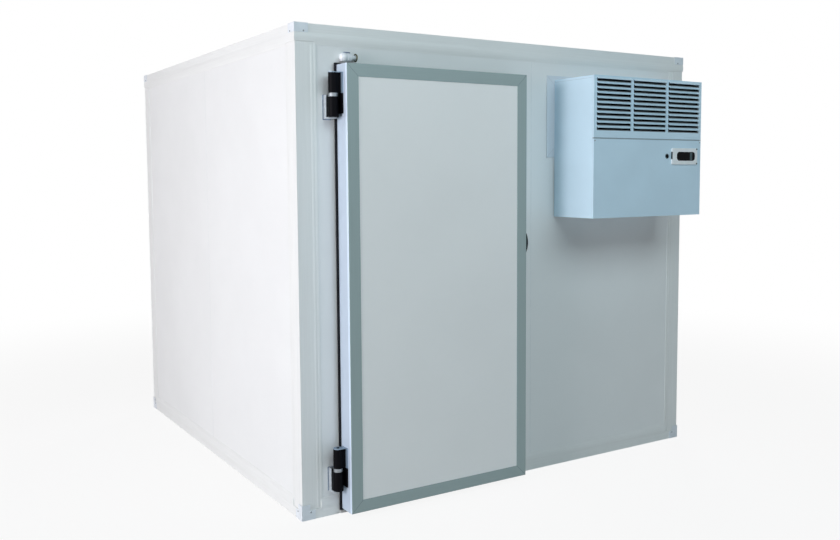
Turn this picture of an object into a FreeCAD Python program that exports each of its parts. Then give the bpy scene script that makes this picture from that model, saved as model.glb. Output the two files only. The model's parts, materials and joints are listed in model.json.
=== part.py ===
import FreeCAD, Part
import os
import Sketcher

# Walk-in cold room: insulated panels under edge profiles, an overlapping hinged door and a
# wall-mounted refrigeration unit. Lengths are in millimetres. The origin is the centre of the
# footprint on the floor, +Z is up and the door is in the front, which faces -Y.

SIZES = [
    ("room_width", 2400, "width over the corner profiles"),
    ("room_depth", 2400, "depth over the corner profiles"),
    ("room_height", 2200, "height over the roof profiles"),
    ("panel_thick", 80, "insulated panel"),
    ("panel_joint", 0.6, "open joint between neighbouring panels"),
    ("trim_depth", 6, "panel face behind the outermost flat of the profiles"),
    ("trim_sheet", 3, "flat of a roof or base profile"),
    ("trim_lip", 1.5, "thin edge of a profile"),
    ("flat_reach", 42, "flat of a profile, from the corner"),
    ("crown_reach", 60, "crown of the bead, from the corner"),
    ("bead_reach", 87, "end of the bead, from the corner"),
    ("bead_rise", 2.5, "bead above the flat"),
    ("trim_reach", 92, "edge of a roof or base profile"),
    ("post_reach", 97, "edge of a corner profile"),
    ("corner_round", 7, "radius of an outer corner"),
    ("post_foot", 70, "lower end of a corner profile's flat"),
    ("bead_foot", 45, "lower end of a corner profile's bead"),
    ("post_head", 80, "roof to the upper end of a corner profile"),
    ("cap_sheet", 2, "wall of a corner cap"),
    ("cap_reach", 67, "leg of a corner cap"),
    ("fit_gap", 0.3, "clearance between seated pieces"),
    ("door_ratio", 3, "room's width over the doorway's width inside its lining"),
    ("clear_drop", 270, "roof down to the top of the doorway"),
    ("clear_left", 287, "left side of the room to the doorway"),
    ("lining", 4, "web of the door frame"),
    ("casing_width", 90, "outer flange of the door frame, beside the lining"),
    ("inner_flange", 44, "inner flange of the door frame"),
    ("inner_sheet", 3, "sheet of the inner flange and the threshold"),
    ("joint_ratio", 1.64, "gap from doorway to unit cut-out over the panel joint's share of it"),
    ("leaf_over", 93, "door leaf beyond the doorway at each side"),
    ("leaf_over_top", 96, "door leaf above the doorway"),
    ("leaf_thick", 98, "door leaf"),
    ("leaf_bottom", 28, "ground to the leaf"),
    ("leaf_gap", 12, "door frame's face to the back of the leaf"),
    ("leaf_flange", 57, "front and back flanges of the leaf's edge profiles"),
    ("leaf_web", 3, "web of the leaf's edge profiles"),
    ("leaf_skin", 2, "flange sheet of the leaf's edge profiles"),
    ("edge_round", 3, "outer edges of the leaf"),
    ("gasket_width", 34, "door gasket"),
    ("gasket_lip", 9, "lip of the gasket beyond the leaf's edge"),
    ("hinge_out", 34, "leaf's side to the hinge axis"),
    ("hinge_front", 33, "leaf's back to the hinge axis"),
    ("hinge_rise", 195, "leaf's bottom up to the lower hinge's washer"),
    ("hinge_drop", 135, "leaf's top down to the upper hinge's washer"),
    ("barrel_radius", 23, "hinge barrel on the wall"),
    ("leaf_radius", 21, "hinge barrel on the leaf"),
    ("leaf_barrel", 88, "height of the leaf's barrel"),
    ("wall_barrel", 88, "height of the wall's barrel"),
    ("washer_high", 16, "washer between the barrels"),
    ("washer_radius", 21, "washer between the barrels"),
    ("pin_radius", 8, "hinge pin"),
    ("pin_play", 0.1, "radial clearance of the hinge pin"),
    ("pin_reach", 60, "hinge pin into each barrel"),
    ("lug_width", 30, "lug of a barrel"),
    ("leaf_plate", 4, "hinge plate on the leaf"),
    ("leaf_plate_wide", 48, "hinge plate on the leaf"),
    ("leaf_shelf", 3, "shelf of the hinge plate over the leaf's barrel"),
    ("tongue", 5, "buffer on the leaf beside the wall's barrel"),
    ("bracket_sheet", 6, "hinge bracket on the wall"),
    ("bracket_side", 24, "hinge axis to the cheek of the bracket"),
    ("bracket_inner", 17, "hinge axis to the inner edge of the bracket"),
    ("bracket_rise", 9, "hinge bracket above the wall's barrel"),
    ("bracket_reach", 28, "cheek of the hinge bracket from the wall"),
    ("handle_level", 1202, "ground to the middle of the handle"),
    ("handle_half", 80, "half height of the handle's bow"),
    ("handle_reach", 39, "handle out from the leaf's edge"),
    ("handle_bar", 12, "thickness of the bow"),
    ("handle_deep", 30, "handle along the leaf's thickness"),
    ("handle_plate", 4, "foot plate of the handle"),
    ("fitting_left", 210, "left side of the room to the fitting over the door"),
    ("fitting_length", 78, "housing of the fitting over the door"),
    ("fitting_radius", 20, "housing of the fitting over the door"),
    ("fitting_dome", 15, "rounding of the housing's end"),
    ("fitting_rise", 15, "leaf's top to the fitting over the door"),
    ("neck_length", 5, "neck between the fitting's housing and collar"),
    ("neck_radius", 12, "neck between the fitting's housing and collar"),
    ("collar_length", 6, "collar of the fitting over the door"),
    ("collar_radius", 18, "collar of the fitting over the door"),
    ("collar_bore", 13, "radius of the hollow in the collar"),
    ("unit_right", 185, "right side of the room to the refrigeration unit"),
    ("unit_ratio", 3.1373, "room's width over the refrigeration unit's width"),
    ("unit_drop", 175, "roof down to the refrigeration unit's top"),
    ("unit_height", 702, "refrigeration unit with its cover"),
    ("unit_reach", 294, "refrigeration unit out from the wall"),
    ("unit_sheet", 2, "sheet of the refrigeration unit"),
    ("cover_lip", 12, "sides of the unit's cover"),
    ("front_return", 8, "folded sides of the unit's front panels"),
    ("shadow_gap", 1, "open joint between the unit's panels"),
    ("grille_height", 306, "louvred panel"),
    ("louvre_margin", 19.5, "unit's side to the louvres, and between columns"),
    ("louvre_first", 6, "top of the louvred panel to the first louvre"),
    ("louvre_pitch", 23.9, "one row of louvres to the next"),
    ("louvre_slot", 19.5, "height of a louvre's slot"),
    ("louvre_rows", 11, "rows of louvres"),
    ("blade_out", 11, "louvre blade out from its panel"),
    ("blade_drop", 10.8, "louvre blade down from its slot's top"),
    ("blade_sheet", 1.5, "louvre blade"),
    ("bezel_right", 32, "unit's right side to the controller"),
    ("bezel_drop", 43, "top of the lower panel to the controller"),
    ("bezel_width", 190, "controller"),
    ("bezel_height", 85, "controller"),
    ("bezel_out", 7, "controller out from its panel"),
    ("bezel_round", 8, "corners of the controller"),
    ("window_width", 137, "controller's window"),
    ("window_height", 46, "controller's window"),
    ("window_round", 18, "corners of the controller's window"),
    ("window_left", 35, "controller's side to its window"),
    ("window_deep", 3, "recess of the controller's window"),
    ("button_radius", 9, "round button beside the controller"),
    ("button_gap", 32, "controller to the button's middle"),
    ("button_out", 5, "button out from its panel"),
    ("flange_bar", 50, "wall flange of the unit, beyond its sides"),
    ("flange_drop", 396, "unit's top down to the wall flange's foot"),
    ("flange_over", 21, "wall flange above the unit"),
    ("flange_lap", 35, "wall flange over the wall around the cut-out"),
    ("plug_gap", 1, "joint around the insulated plug"),
]

os.makedirs("parts", exist_ok=True)
doc = FreeCAD.newDocument("ColdRoom")
sheet = doc.addObject("Spreadsheet::Sheet", "Sizes")


class Size:
    """A length with its number and the sheet expression that drives it."""

    def __init__(self, value, text):
        self.value = float(value)
        self.text = text

    def __add__(self, other):
        other = as_size(other)
        return Size(self.value + other.value, f"({self.text} + {other.text})")

    def __sub__(self, other):
        other = as_size(other)
        return Size(self.value - other.value, f"({self.text} - {other.text})")

    def __mul__(self, factor):
        return Size(self.value * factor, f"({self.text} * {factor})")

    def __truediv__(self, divisor):
        divisor = as_size(divisor)
        return Size(self.value / divisor.value, f"({self.text} / {divisor.text})")

    def __neg__(self):
        return Size(-self.value, f"(0 - {self.text})")


def as_size(amount):
    """A Size from a Size or a plain number."""
    return amount if isinstance(amount, Size) else Size(amount, repr(float(amount)))


def fill_sheet():
    """Write the sizes into the sheet, one row each, and return them by name."""
    for row, (name, value, meaning) in enumerate(SIZES, start=1):
        sheet.set(f"A{row}", name)
        sheet.set(f"B{row}", str(value))
        sheet.setAlias(f"B{row}", name)
        sheet.set(f"C{row}", meaning)
    doc.recompute()
    return {name: Size(value, f"Sizes.{name}") for name, value, meaning in SIZES}


S = fill_sheet()
ZERO = as_size(0)
UP = FreeCAD.Vector(0, 0, 1)
ALONG_Y = FreeCAD.Vector(0, 1, 0)
OVERCUT = 5.0

SUBPARTS = []

# Planes and levels that several pieces share.
LEFT = -S["room_width"] / 2
RIGHT = S["room_width"] / 2
FRONT = -S["room_depth"] / 2
BACK = S["room_depth"] / 2
ROOF = S["room_height"]
WALL_LEFT = LEFT + S["trim_depth"]
WALL_RIGHT = RIGHT - S["trim_depth"]
WALL_FRONT = FRONT + S["trim_depth"]
WALL_BACK = BACK - S["trim_depth"]
INNER_LEFT = WALL_LEFT + S["panel_thick"]
INNER_RIGHT = WALL_RIGHT - S["panel_thick"]
INNER_FRONT = WALL_FRONT + S["panel_thick"]
INNER_BACK = WALL_BACK - S["panel_thick"]
FLOOR_TOP = S["panel_thick"]
CEILING_TOP = ROOF - S["trim_depth"]
CEILING_UNDER = CEILING_TOP - S["panel_thick"]
CLEAR_LEFT = LEFT + S["clear_left"]
CLEAR_RIGHT = CLEAR_LEFT + S["room_width"] / S["door_ratio"]
CLEAR_TOP = ROOF - S["clear_drop"]
HOLE_LEFT = CLEAR_LEFT - S["lining"]
HOLE_RIGHT = CLEAR_RIGHT + S["lining"]
HOLE_TOP = CLEAR_TOP + S["lining"]
CASING_LEFT = HOLE_LEFT - S["casing_width"]
CASING_RIGHT = HOLE_RIGHT + S["casing_width"]
CASING_TOP = HOLE_TOP + S["casing_width"]
LEAF_LEFT = CLEAR_LEFT - S["leaf_over"]
LEAF_RIGHT = CLEAR_RIGHT + S["leaf_over"]
LEAF_TOP = CLEAR_TOP + S["leaf_over_top"]
LEAF_BACK = FRONT - S["leaf_gap"]
LEAF_FRONT = LEAF_BACK - S["leaf_thick"]
HINGE_X = LEAF_LEFT - S["hinge_out"]
HINGE_Y = LEAF_BACK - S["hinge_front"]
WASHERS = {"low": S["leaf_bottom"] + S["hinge_rise"], "high": LEAF_TOP - S["hinge_drop"]}
UNIT_WIDTH = S["room_width"] / S["unit_ratio"]
UNIT_RIGHT = RIGHT - S["unit_right"]
UNIT_LEFT = UNIT_RIGHT - UNIT_WIDTH
UNIT_TOP = ROOF - S["unit_drop"]
UNIT_BOTTOM = UNIT_TOP - S["unit_height"]
UNIT_FRONT = FRONT - S["unit_reach"]
UNIT_CASE_FRONT = UNIT_FRONT + S["front_return"]
UNIT_CASE_TOP = UNIT_TOP - S["cover_lip"]
GRILLE_BOTTOM = UNIT_TOP - S["grille_height"]
LOWER_TOP = GRILLE_BOTTOM - S["shadow_gap"]
BEZEL_RIGHT = UNIT_RIGHT - S["bezel_right"]
BEZEL_TOP = LOWER_TOP - S["bezel_drop"]
BEZEL_LEFT = BEZEL_RIGHT - S["bezel_width"]
BEZEL_BOTTOM = BEZEL_TOP - S["bezel_height"]
FLANGE_LEFT = UNIT_LEFT - S["flange_bar"]
FLANGE_RIGHT = UNIT_RIGHT + S["flange_bar"]
FLANGE_TOP = UNIT_TOP + S["flange_over"]
FLANGE_LOW = UNIT_TOP - S["flange_drop"]


def bind(thing, prop, amount):
    """Let the sheet drive one property."""
    thing.setExpression(prop, as_size(amount).text)


def keep(piece, label):
    """Give a finished sub-part the name of its file."""
    piece.Label = label
    SUBPARTS.append(piece)
    return piece


def place(piece, x=ZERO, y=ZERO, z=ZERO, axis=UP, angle=0.0):
    """Put a piece at a point that the sheet drives, turned about an axis."""
    piece.Placement = FreeCAD.Placement(FreeCAD.Vector(0, 0, 0), FreeCAD.Rotation(axis, angle))
    for letter, amount in zip("xyz", (x, y, z)):
        bind(piece, f"Placement.Base.{letter}", amount)
    return piece


def box(name, x, y, z):
    """A block between a low and a high limit along each axis."""
    block = doc.addObject("Part::Box", name)
    for prop, (low, high) in zip(("Length", "Width", "Height"), (x, y, z)):
        bind(block, prop, as_size(high) - low)
    return place(block, x[0], y[0], z[0])


def cylinder(name, radius, height, x, y, z, axis=UP, angle=0.0):
    """A round bar from a point along the turned Z axis."""
    bar = doc.addObject("Part::Cylinder", name)
    bind(bar, "Radius", radius)
    bind(bar, "Height", height)
    return place(bar, x, y, z, axis, angle)


def fuse(name, pieces):
    """One piece made of several that touch."""
    whole = doc.addObject("Part::MultiFuse", name)
    whole.Shapes = pieces
    whole.Refine = True
    return whole


def cut(name, base, tool):
    """A piece with a tool's shape taken away."""
    rest = doc.addObject("Part::Cut", name)
    rest.Base = base
    rest.Tool = tool
    rest.Refine = True
    return rest


def group(label, pieces):
    """Like pieces that share a file, as separate solids."""
    together = doc.addObject("Part::Compound", label)
    together.Links = pieces
    return keep(together, label)


def new_body(name):
    """An empty body."""
    body = doc.addObject("PartDesign::Body", name)
    body.Label = name
    return body


def new_sketch(body, role, name, offset=ZERO):
    """A sketch on one of the body's own origin planes, moved along the plane's normal."""
    plane = next(item for item in body.Origin.OriginFeatures if item.Role == role)
    drawing = body.newObject("Sketcher::SketchObject", f"{body.Name}_{name}")
    drawing.AttachmentSupport = (plane, [""])
    drawing.MapMode = "FlatFace"
    bind(drawing, "AttachmentOffset.Base.z", offset)
    return drawing


def vector(point):
    """A sketch point as numbers."""
    return FreeCAD.Vector(as_size(point[0]).value, as_size(point[1]).value, 0)


def pin_point(drawing, item, end, point):
    """Fix one point of a sketch by its two distances from the origin."""
    for kind, amount in zip(("DistanceX", "DistanceY"), point):
        amount = as_size(amount)
        rule = drawing.addConstraint(Sketcher.Constraint(kind, -1, 1, item, end, amount.value))
        drawing.setExpression(f"Constraints[{rule}]", amount.text)


def outline(drawing, corners):
    """Close an outline through corners; a corner's third entry is a point that the arc to the
    next corner passes through."""
    edges = []
    for index, corner in enumerate(corners):
        start = vector(corner)
        finish = vector(corners[(index + 1) % len(corners)])
        if len(corner) == 3:
            item = drawing.addGeometry(Part.ArcOfCircle(start, vector(corner[2]), finish), False)
            turned = drawing.getPoint(item, 1).distanceToPoint(start) > 1e-6
            edges.append((item, 2, 1) if turned else (item, 1, 2))
        else:
            item = drawing.addGeometry(Part.LineSegment(start, finish), False)
            edges.append((item, 1, 2))
    for index, (item, start_end, finish_end) in enumerate(edges):
        after, after_start, _ = edges[(index + 1) % len(edges)]
        drawing.addConstraint(
            Sketcher.Constraint("Coincident", item, finish_end, after, after_start))
        pin_point(drawing, item, start_end, corners[index][:2])
        if len(corners[index]) == 3:
            through = drawing.addGeometry(Part.Point(vector(corners[index][2])), True)
            pin_point(drawing, through, 1, corners[index][2])
            drawing.addConstraint(Sketcher.Constraint("PointOnObject", through, 1, item))


def rectangle(drawing, x, y):
    """A rectangle between two limits each way."""
    outline(drawing, [(x[0], y[0]), (x[1], y[0]), (x[1], y[1]), (x[0], y[1])])


def pad(body, drawing, length, middle=False, reverse=False):
    """Raise a sketch into a solid."""
    feature = body.newObject("PartDesign::Pad", f"{drawing.Name}_pad")
    feature.Profile = drawing
    feature.SideType = "Symmetric" if middle else "One side"
    feature.Reversed = reverse
    bind(feature, "Length", length)
    return feature


def pocket(body, drawing, length=None, reverse=False):
    """Take a sketch's shape out of a body: to a depth, or right through both ways."""
    feature = body.newObject("PartDesign::Pocket", f"{drawing.Name}_pocket")
    feature.Profile = drawing
    if length is None:
        feature.SideType = "Symmetric"
        feature.Type = "ThroughAll"
    else:
        feature.Reversed = reverse
        bind(feature, "Length", length)
    return feature


def fillet(body, feature, edges, radius):
    """Round some edges of a feature."""
    rounded = body.newObject("PartDesign::Fillet", f"{feature.Name}_round")
    rounded.Base = (feature, edges)
    bind(rounded, "Radius", radius)
    return rounded


def edges_where(feature, test):
    """Names of the edges of a feature that pass a test, once it is computed."""
    doc.recompute()
    return [f"Edge{number}" for number, edge in enumerate(feature.Shape.Edges, start=1)
            if test(edge)]


def runs_along(edge, letter):
    """Whether an edge is straight and parallel to an axis."""
    if len(edge.Vertexes) != 2 or not isinstance(edge.Curve, Part.Line):
        return False
    return abs(abs(getattr(edge.Curve.Direction, letter)) - 1) < 1e-6


def wall_panel(label, x, y, z):
    """A plain insulated panel."""
    return keep(box(label, x, y, z), label)


def build_panels():
    """Floor, ceiling and walls; the side walls stand between the front and back walls."""
    joint = S["panel_joint"] / 2
    third = (WALL_RIGHT - WALL_LEFT) / 6
    thirds = (("left", (WALL_LEFT, -third - joint)), ("middle", (-third + joint, third - joint)),
              ("right", (third + joint, WALL_RIGHT)))
    for side, x in thirds:
        wall_panel(f"floor_panel_{side}", x, (WALL_FRONT, WALL_BACK), (ZERO, FLOOR_TOP))
    halves = (("left", (WALL_LEFT, -joint)), ("right", (joint, WALL_RIGHT)))
    for side, x in halves:
        wall_panel(f"ceiling_panel_{side}", x, (WALL_FRONT, WALL_BACK),
                   (CEILING_UNDER, CEILING_TOP))
        wall_panel(f"back_wall_{side}", x, (INNER_BACK, WALL_BACK), (FLOOR_TOP, CEILING_UNDER))
    for side, x in (("left", (WALL_LEFT, INNER_LEFT)), ("right", (INNER_RIGHT, WALL_RIGHT))):
        wall_panel(f"{side}_wall_front", x, (INNER_FRONT, -joint), (FLOOR_TOP, CEILING_UNDER))
        wall_panel(f"{side}_wall_back", x, (joint, INNER_BACK), (FLOOR_TOP, CEILING_UNDER))
    front = (WALL_FRONT, INNER_FRONT)
    upright = (FLOOR_TOP, CEILING_UNDER)
    lap = S["flange_lap"]
    hole_x = (FLANGE_LEFT + lap, FLANGE_RIGHT - lap)
    hole_z = (FLANGE_LOW + lap, FLANGE_TOP - lap)
    door_joint = HOLE_RIGHT + (hole_x[0] - HOLE_RIGHT) / S["joint_ratio"]
    wall_panel("front_wall_hinge_side", (WALL_LEFT, HOLE_LEFT), front, upright)
    wall_panel("front_wall_header", (HOLE_LEFT, HOLE_RIGHT), front, (HOLE_TOP, CEILING_UNDER))
    wall_panel("front_wall_latch_side", (HOLE_RIGHT, door_joint - joint), front, upright)
    solid = box("unit_wall_solid", (door_joint + joint, WALL_RIGHT), front, upright)
    hole = box("unit_wall_hole", hole_x, (FRONT - OVERCUT, INNER_FRONT + OVERCUT), hole_z)
    keep(cut("front_wall_unit_side", solid, hole), "front_wall_unit_side")
    gap = S["plug_gap"]
    wall_panel("unit_plug", (hole_x[0] + gap, hole_x[1] - gap), front,
               (hole_z[0] + gap, hole_z[1] - gap))


def bead(run, reach):
    """The raised part of a profile from its flat to its edge, as (along, depth) corners.

    run is the depth of the flat and reach the profile's full width.
    """
    lip = S["trim_depth"] - S["trim_lip"]
    crown = (S["crown_reach"], run - S["bead_rise"])
    return [(S["flat_reach"], run, crown), (S["bead_reach"], lip), (reach, lip),
            (reach, S["trim_depth"])]


def mirrored(corners):
    """The same corners with their two coordinates exchanged, in the opposite order."""
    turned = []
    for index in range(len(corners) - 1, -1, -1):
        x, y = corners[index][:2]
        before = corners[index - 1]
        if index > 0 and len(before) == 3:
            turned.append((y, x, (before[2][1], before[2][0])))
        else:
            turned.append((y, x))
    return turned


def corner_post(label, x, y, angle):
    """A vertical corner profile: a rounded angle with a bead down each face."""
    body = new_body(label)
    bend = S["corner_round"]
    middle = bend * 0.2929
    leg = bead(ZERO, S["post_reach"])
    section = new_sketch(body, "XY_Plane", "section")
    outline(section, leg + [(S["trim_depth"], S["trim_depth"])] + mirrored(leg)
            + [(ZERO, bend, (middle, middle)), (bend, ZERO)])
    top = ROOF - S["post_head"] - S["fit_gap"]
    bind(section, "AttachmentOffset.Base.z", S["post_foot"])
    pad(body, section, top - S["post_foot"])
    strips = new_sketch(body, "XY_Plane", "strips")
    bind(strips, "AttachmentOffset.Base.z", S["bead_foot"])
    strip = leg + [(S["flat_reach"], S["trim_depth"])]
    outline(strips, strip)
    outline(strips, mirrored(strip))
    pad(body, strips, S["post_foot"] - S["bead_foot"] + S["cap_reach"])
    keep(place(body, x, y, ZERO, UP, angle), label)


def mitred_bar(name, section, length, role, reach, spare, mitres):
    """A bar of one section along X, its ends cut at 45 degrees towards its inner edge.

    section: corners in the YZ plane; role: the plane that the mitres are drawn on; reach: how
    far the section goes inward; spare: length beyond the corner for what stands proud there;
    mitres: whether the start and the end are cut.
    """
    body = new_body(name)
    drawing = new_sketch(body, "YZ_Plane", "section")
    before = as_size(spare) if mitres[0] else ZERO
    after = as_size(spare) if mitres[1] else ZERO
    bind(drawing, "AttachmentOffset.Base.z", -before)
    outline(drawing, section)
    pad(body, drawing, as_size(length) + before + after)
    if any(mitres):
        far = as_size(reach) + OVERCUT
        near = -as_size(spare) - OVERCUT
        ends = new_sketch(body, role, "mitres")
        if mitres[0]:
            outline(ends, [(near, near), (far, far), (near, far)])
        if mitres[1]:
            outline(ends, [(length - near, near), (length - near, far), (length - far, far)])
        pocket(body, ends)
    return body


def notch_ends(body, length, corners, ends):
    """Cut the same outline from the ends of an edge profile, seen on its outer face."""
    notch = new_sketch(body, "XZ_Plane", "notches", OVERCUT)
    if ends[0]:
        outline(notch, corners)
    if ends[1]:
        outline(notch, [(length - x, z) for x, z in reversed(corners)])
    pocket(body, notch, S["trim_depth"] + OVERCUT)


def roof_profile(label, length, x, y, angle):
    """A roof edge profile: an angle with one leg on the wall and one on the roof."""
    flat = S["trim_depth"] - S["trim_sheet"]
    leg = bead(flat, S["trim_reach"])
    depth = S["trim_depth"]
    roof_leg = [(a[0], -a[1], (a[2][0], -a[2][1])) if len(a) == 3 else (a[0], -a[1]) for a in leg]
    wall_leg = [(a[0], -a[1], (a[2][0], -a[2][1])) if len(a) == 3 else (a[0], -a[1])
                for a in mirrored(leg)]
    section = roof_leg + [(depth, -depth)] + wall_leg + [(flat, -flat)]
    body = mitred_bar(label, section, length, "XY_Plane", S["trim_reach"], S["bead_rise"],
                      (True, True))
    side = S["post_reach"] + S["fit_gap"]
    notch_ends(body, length, [(as_size(-OVERCUT), -S["post_head"]),
                              (as_size(-OVERCUT), -S["trim_reach"] - OVERCUT),
                              (side, -S["trim_reach"] - OVERCUT), (side, -S["post_head"])],
               (True, True))
    keep(place(body, x, y, ROOF, UP, angle), label)


def base_bar(name, length, x, y, angle, corners):
    """A base profile on the foot of a wall, notched where a corner profile comes down."""
    flat = S["trim_depth"] - S["trim_sheet"]
    leg = mirrored(bead(flat, S["trim_reach"]))
    section = [(flat, ZERO), (S["trim_depth"], ZERO)] + leg
    body = mitred_bar(name, section, length, "XY_Plane", S["trim_depth"], S["bead_rise"], corners)
    side = S["post_reach"] + S["fit_gap"]
    inner = S["flat_reach"] - S["fit_gap"]
    bead_foot = S["bead_foot"] - S["fit_gap"]
    over = S["trim_reach"] + OVERCUT
    before = as_size(-OVERCUT)
    notch_ends(body, length, [(before, inner), (inner, inner), (inner, bead_foot),
                              (side, bead_foot), (side, over), (before, over)], corners)
    return place(body, x, y, ZERO, UP, angle)


def build_profiles():
    """Corner, roof and base profiles and the caps over the corners."""
    corners = (("front_left", LEFT, FRONT, 0), ("front_right", RIGHT, FRONT, 90),
               ("back_right", RIGHT, BACK, 180), ("back_left", LEFT, BACK, 270))
    for side, x, y, angle in corners:
        corner_post(f"corner_profile_{side}", x, y, angle)
    width, depth = S["room_width"], S["room_depth"]
    runs = (("front", width, LEFT, FRONT, 0), ("right", depth, RIGHT, FRONT, 90),
            ("back", width, RIGHT, BACK, 180), ("left", depth, LEFT, BACK, 270))
    for side, length, x, y, angle in runs:
        roof_profile(f"roof_profile_{side}", length, x, y, angle)
        if side != "front":
            name = f"base_profile_{side}"
            keep(base_bar(name, length, x, y, angle, (True, True)), name)
    gap = S["fit_gap"]
    left = base_bar("base_front_hinge", CASING_LEFT - gap - LEFT, LEFT, FRONT, 0, (True, False))
    start = CASING_RIGHT + gap
    right = base_bar("base_front_unit", RIGHT - start, start, FRONT, 0, (False, True))
    group("base_profile_front", [left, right])
    group("bottom_corner_caps", [bottom_cap(*corner) for corner in corners])
    group("roof_corner_caps", [roof_cap(*corner) for corner in corners])


def angle_plan(drawing, reach, outer, inner):
    """The plan of an angle with equal legs between two depths from the faces."""
    outline(drawing, [(outer, outer), (reach, outer), (reach, inner), (inner, inner),
                      (inner, reach), (outer, reach)])


def bottom_cap(side, x, y, angle):
    """A corner cap at the ground, stepped round the corner profile's beads."""
    body = new_body(f"bottom_cap_{side}")
    inner = S["trim_depth"] - S["trim_sheet"]
    outer = inner - S["cap_sheet"]
    wide = new_sketch(body, "XY_Plane", "wide")
    angle_plan(wide, S["cap_reach"], outer, inner)
    pad(body, wide, S["flat_reach"] - S["fit_gap"])
    narrow = new_sketch(body, "XY_Plane", "narrow")
    angle_plan(narrow, S["flat_reach"] - S["fit_gap"], outer, inner)
    pad(body, narrow, S["post_foot"] - S["fit_gap"])
    return place(body, x, y, ZERO, UP, angle)


def roof_cap(side, x, y, angle):
    """A corner cap over the roof profiles: two cheeks and a stepped top."""
    body = new_body(f"roof_cap_{side}")
    inner = S["trim_depth"] - S["trim_sheet"]
    outer = inner - S["cap_sheet"]
    cheeks = new_sketch(body, "XY_Plane", "cheeks", -S["flat_reach"])
    angle_plan(cheeks, S["cap_reach"], outer, inner)
    pad(body, cheeks, S["flat_reach"] - outer)
    top = new_sketch(body, "XY_Plane", "top", -inner)
    reach, flat = S["cap_reach"], S["flat_reach"]
    outline(top, [(outer, outer), (reach, outer), (reach, flat), (flat, flat), (flat, reach),
                  (outer, reach)])
    pad(body, top, S["cap_sheet"])
    return place(body, x, y, ROOF, UP, angle)


def build_door_frame():
    """A channel round the doorway's sides and head, and the sill under it."""
    lining = S["casing_width"] + S["lining"]
    through = S["trim_depth"] + S["panel_thick"]
    inner = through + S["inner_sheet"]
    section = [(ZERO, ZERO), (S["trim_depth"], ZERO), (S["trim_depth"], S["casing_width"]),
               (through, S["casing_width"]), (through, lining - S["inner_flange"]),
               (inner, lining - S["inner_flange"]), (inner, lining), (ZERO, lining)]
    leg = CASING_TOP - FLOOR_TOP
    head = CASING_RIGHT - CASING_LEFT
    runs = (("left", leg, CASING_LEFT, CASING_TOP, 90, (True, False)),
            ("head", head, CASING_RIGHT, CASING_TOP, 180, (True, True)),
            ("right", leg, CASING_RIGHT, FLOOR_TOP, 270, (False, True)))
    for side, length, x, z, angle, mitres in runs:
        label = f"door_frame_{side}"
        bar = mitred_bar(label, section, length, "XZ_Plane", lining, ZERO, mitres)
        keep(place(bar, x, FRONT, z, ALONG_Y, angle), label)
    inner_face = INNER_FRONT + S["inner_sheet"]
    face = box("sill_face", (CASING_LEFT, CASING_RIGHT), (FRONT, WALL_FRONT), (ZERO, FLOOR_TOP))
    tread = box("sill_tread", (CLEAR_LEFT, CLEAR_RIGHT), (FRONT, inner_face),
                (FLOOR_TOP, FLOOR_TOP + S["inner_sheet"]))
    keep(fuse("door_sill", [face, tread]), "door_sill")


def build_leaf():
    """The door leaf: an insulated core in four mitred channels, with a gasket behind."""
    web, skin, thick, bend = S["leaf_web"], S["leaf_skin"], S["leaf_thick"], S["edge_round"]
    flange = S["leaf_flange"]
    core = box("door_panel", (LEAF_LEFT + web, LEAF_RIGHT - web),
               (LEAF_FRONT + skin, LEAF_BACK - skin), (S["leaf_bottom"] + web, LEAF_TOP - web))
    keep(core, "door_panel")
    near = bend * 0.2929
    section = [(bend, ZERO), (thick - bend, ZERO, (thick - near, near)), (thick, bend),
               (thick, flange), (thick - skin, flange), (thick - skin, web), (skin, web),
               (skin, flange), (ZERO, flange), (ZERO, bend, (near, near))]
    wide, tall = LEAF_RIGHT - LEAF_LEFT, LEAF_TOP - S["leaf_bottom"]
    runs = (("bottom", wide, LEAF_LEFT, S["leaf_bottom"], 0),
            ("left", tall, LEAF_LEFT, LEAF_TOP, 90),
            ("top", wide, LEAF_RIGHT, LEAF_TOP, 180),
            ("right", tall, LEAF_RIGHT, S["leaf_bottom"], 270))
    for side, length, x, z, angle in runs:
        label = f"door_edge_{side}"
        bar = mitred_bar(label, section, length, "XZ_Plane", flange, ZERO, (True, True))
        keep(place(bar, x, LEAF_FRONT, z, ALONG_Y, angle), label)
    body = new_body("door_gasket")
    ring = new_sketch(body, "XZ_Plane", "ring")
    lip, width = S["gasket_lip"], S["gasket_width"]
    for edge in (-lip, width - lip):
        rectangle(ring, (edge, wide - edge), (edge, tall - edge))
    bulb = pad(body, ring, S["leaf_gap"] - S["fit_gap"], reverse=True)
    rims = edges_where(bulb, lambda edge: edge.BoundBox.YMin > 1)
    fillet(body, bulb, rims, S["leaf_gap"] / 3)
    keep(place(body, LEAF_LEFT, LEAF_BACK, S["leaf_bottom"]), "door_gasket")


def build_hinges():
    """Two lift-off hinges: the leaf's barrel sits over the wall's, on a washer."""
    parts = {name: [] for name in ("bracket", "wall", "pin", "plate", "leaf")}
    for level_name, washer in WASHERS.items():
        under = washer - S["washer_high"] / 2
        over = washer + S["washer_high"] / 2
        parts["bracket"].append(wall_bracket(level_name, under))
        parts["wall"].append(wall_barrel(level_name, under))
        parts["pin"].append(hinge_pin(level_name, under, over))
        parts["plate"].append(leaf_plate(level_name, over))
        parts["leaf"].append(leaf_barrel(level_name, under, over))
    group("hinge_wall_brackets", parts["bracket"])
    group("hinge_wall_barrels", parts["wall"])
    group("hinge_pins", parts["pin"])
    group("hinge_leaf_plates", parts["plate"])
    group("hinge_leaf_barrels", parts["leaf"])


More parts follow.
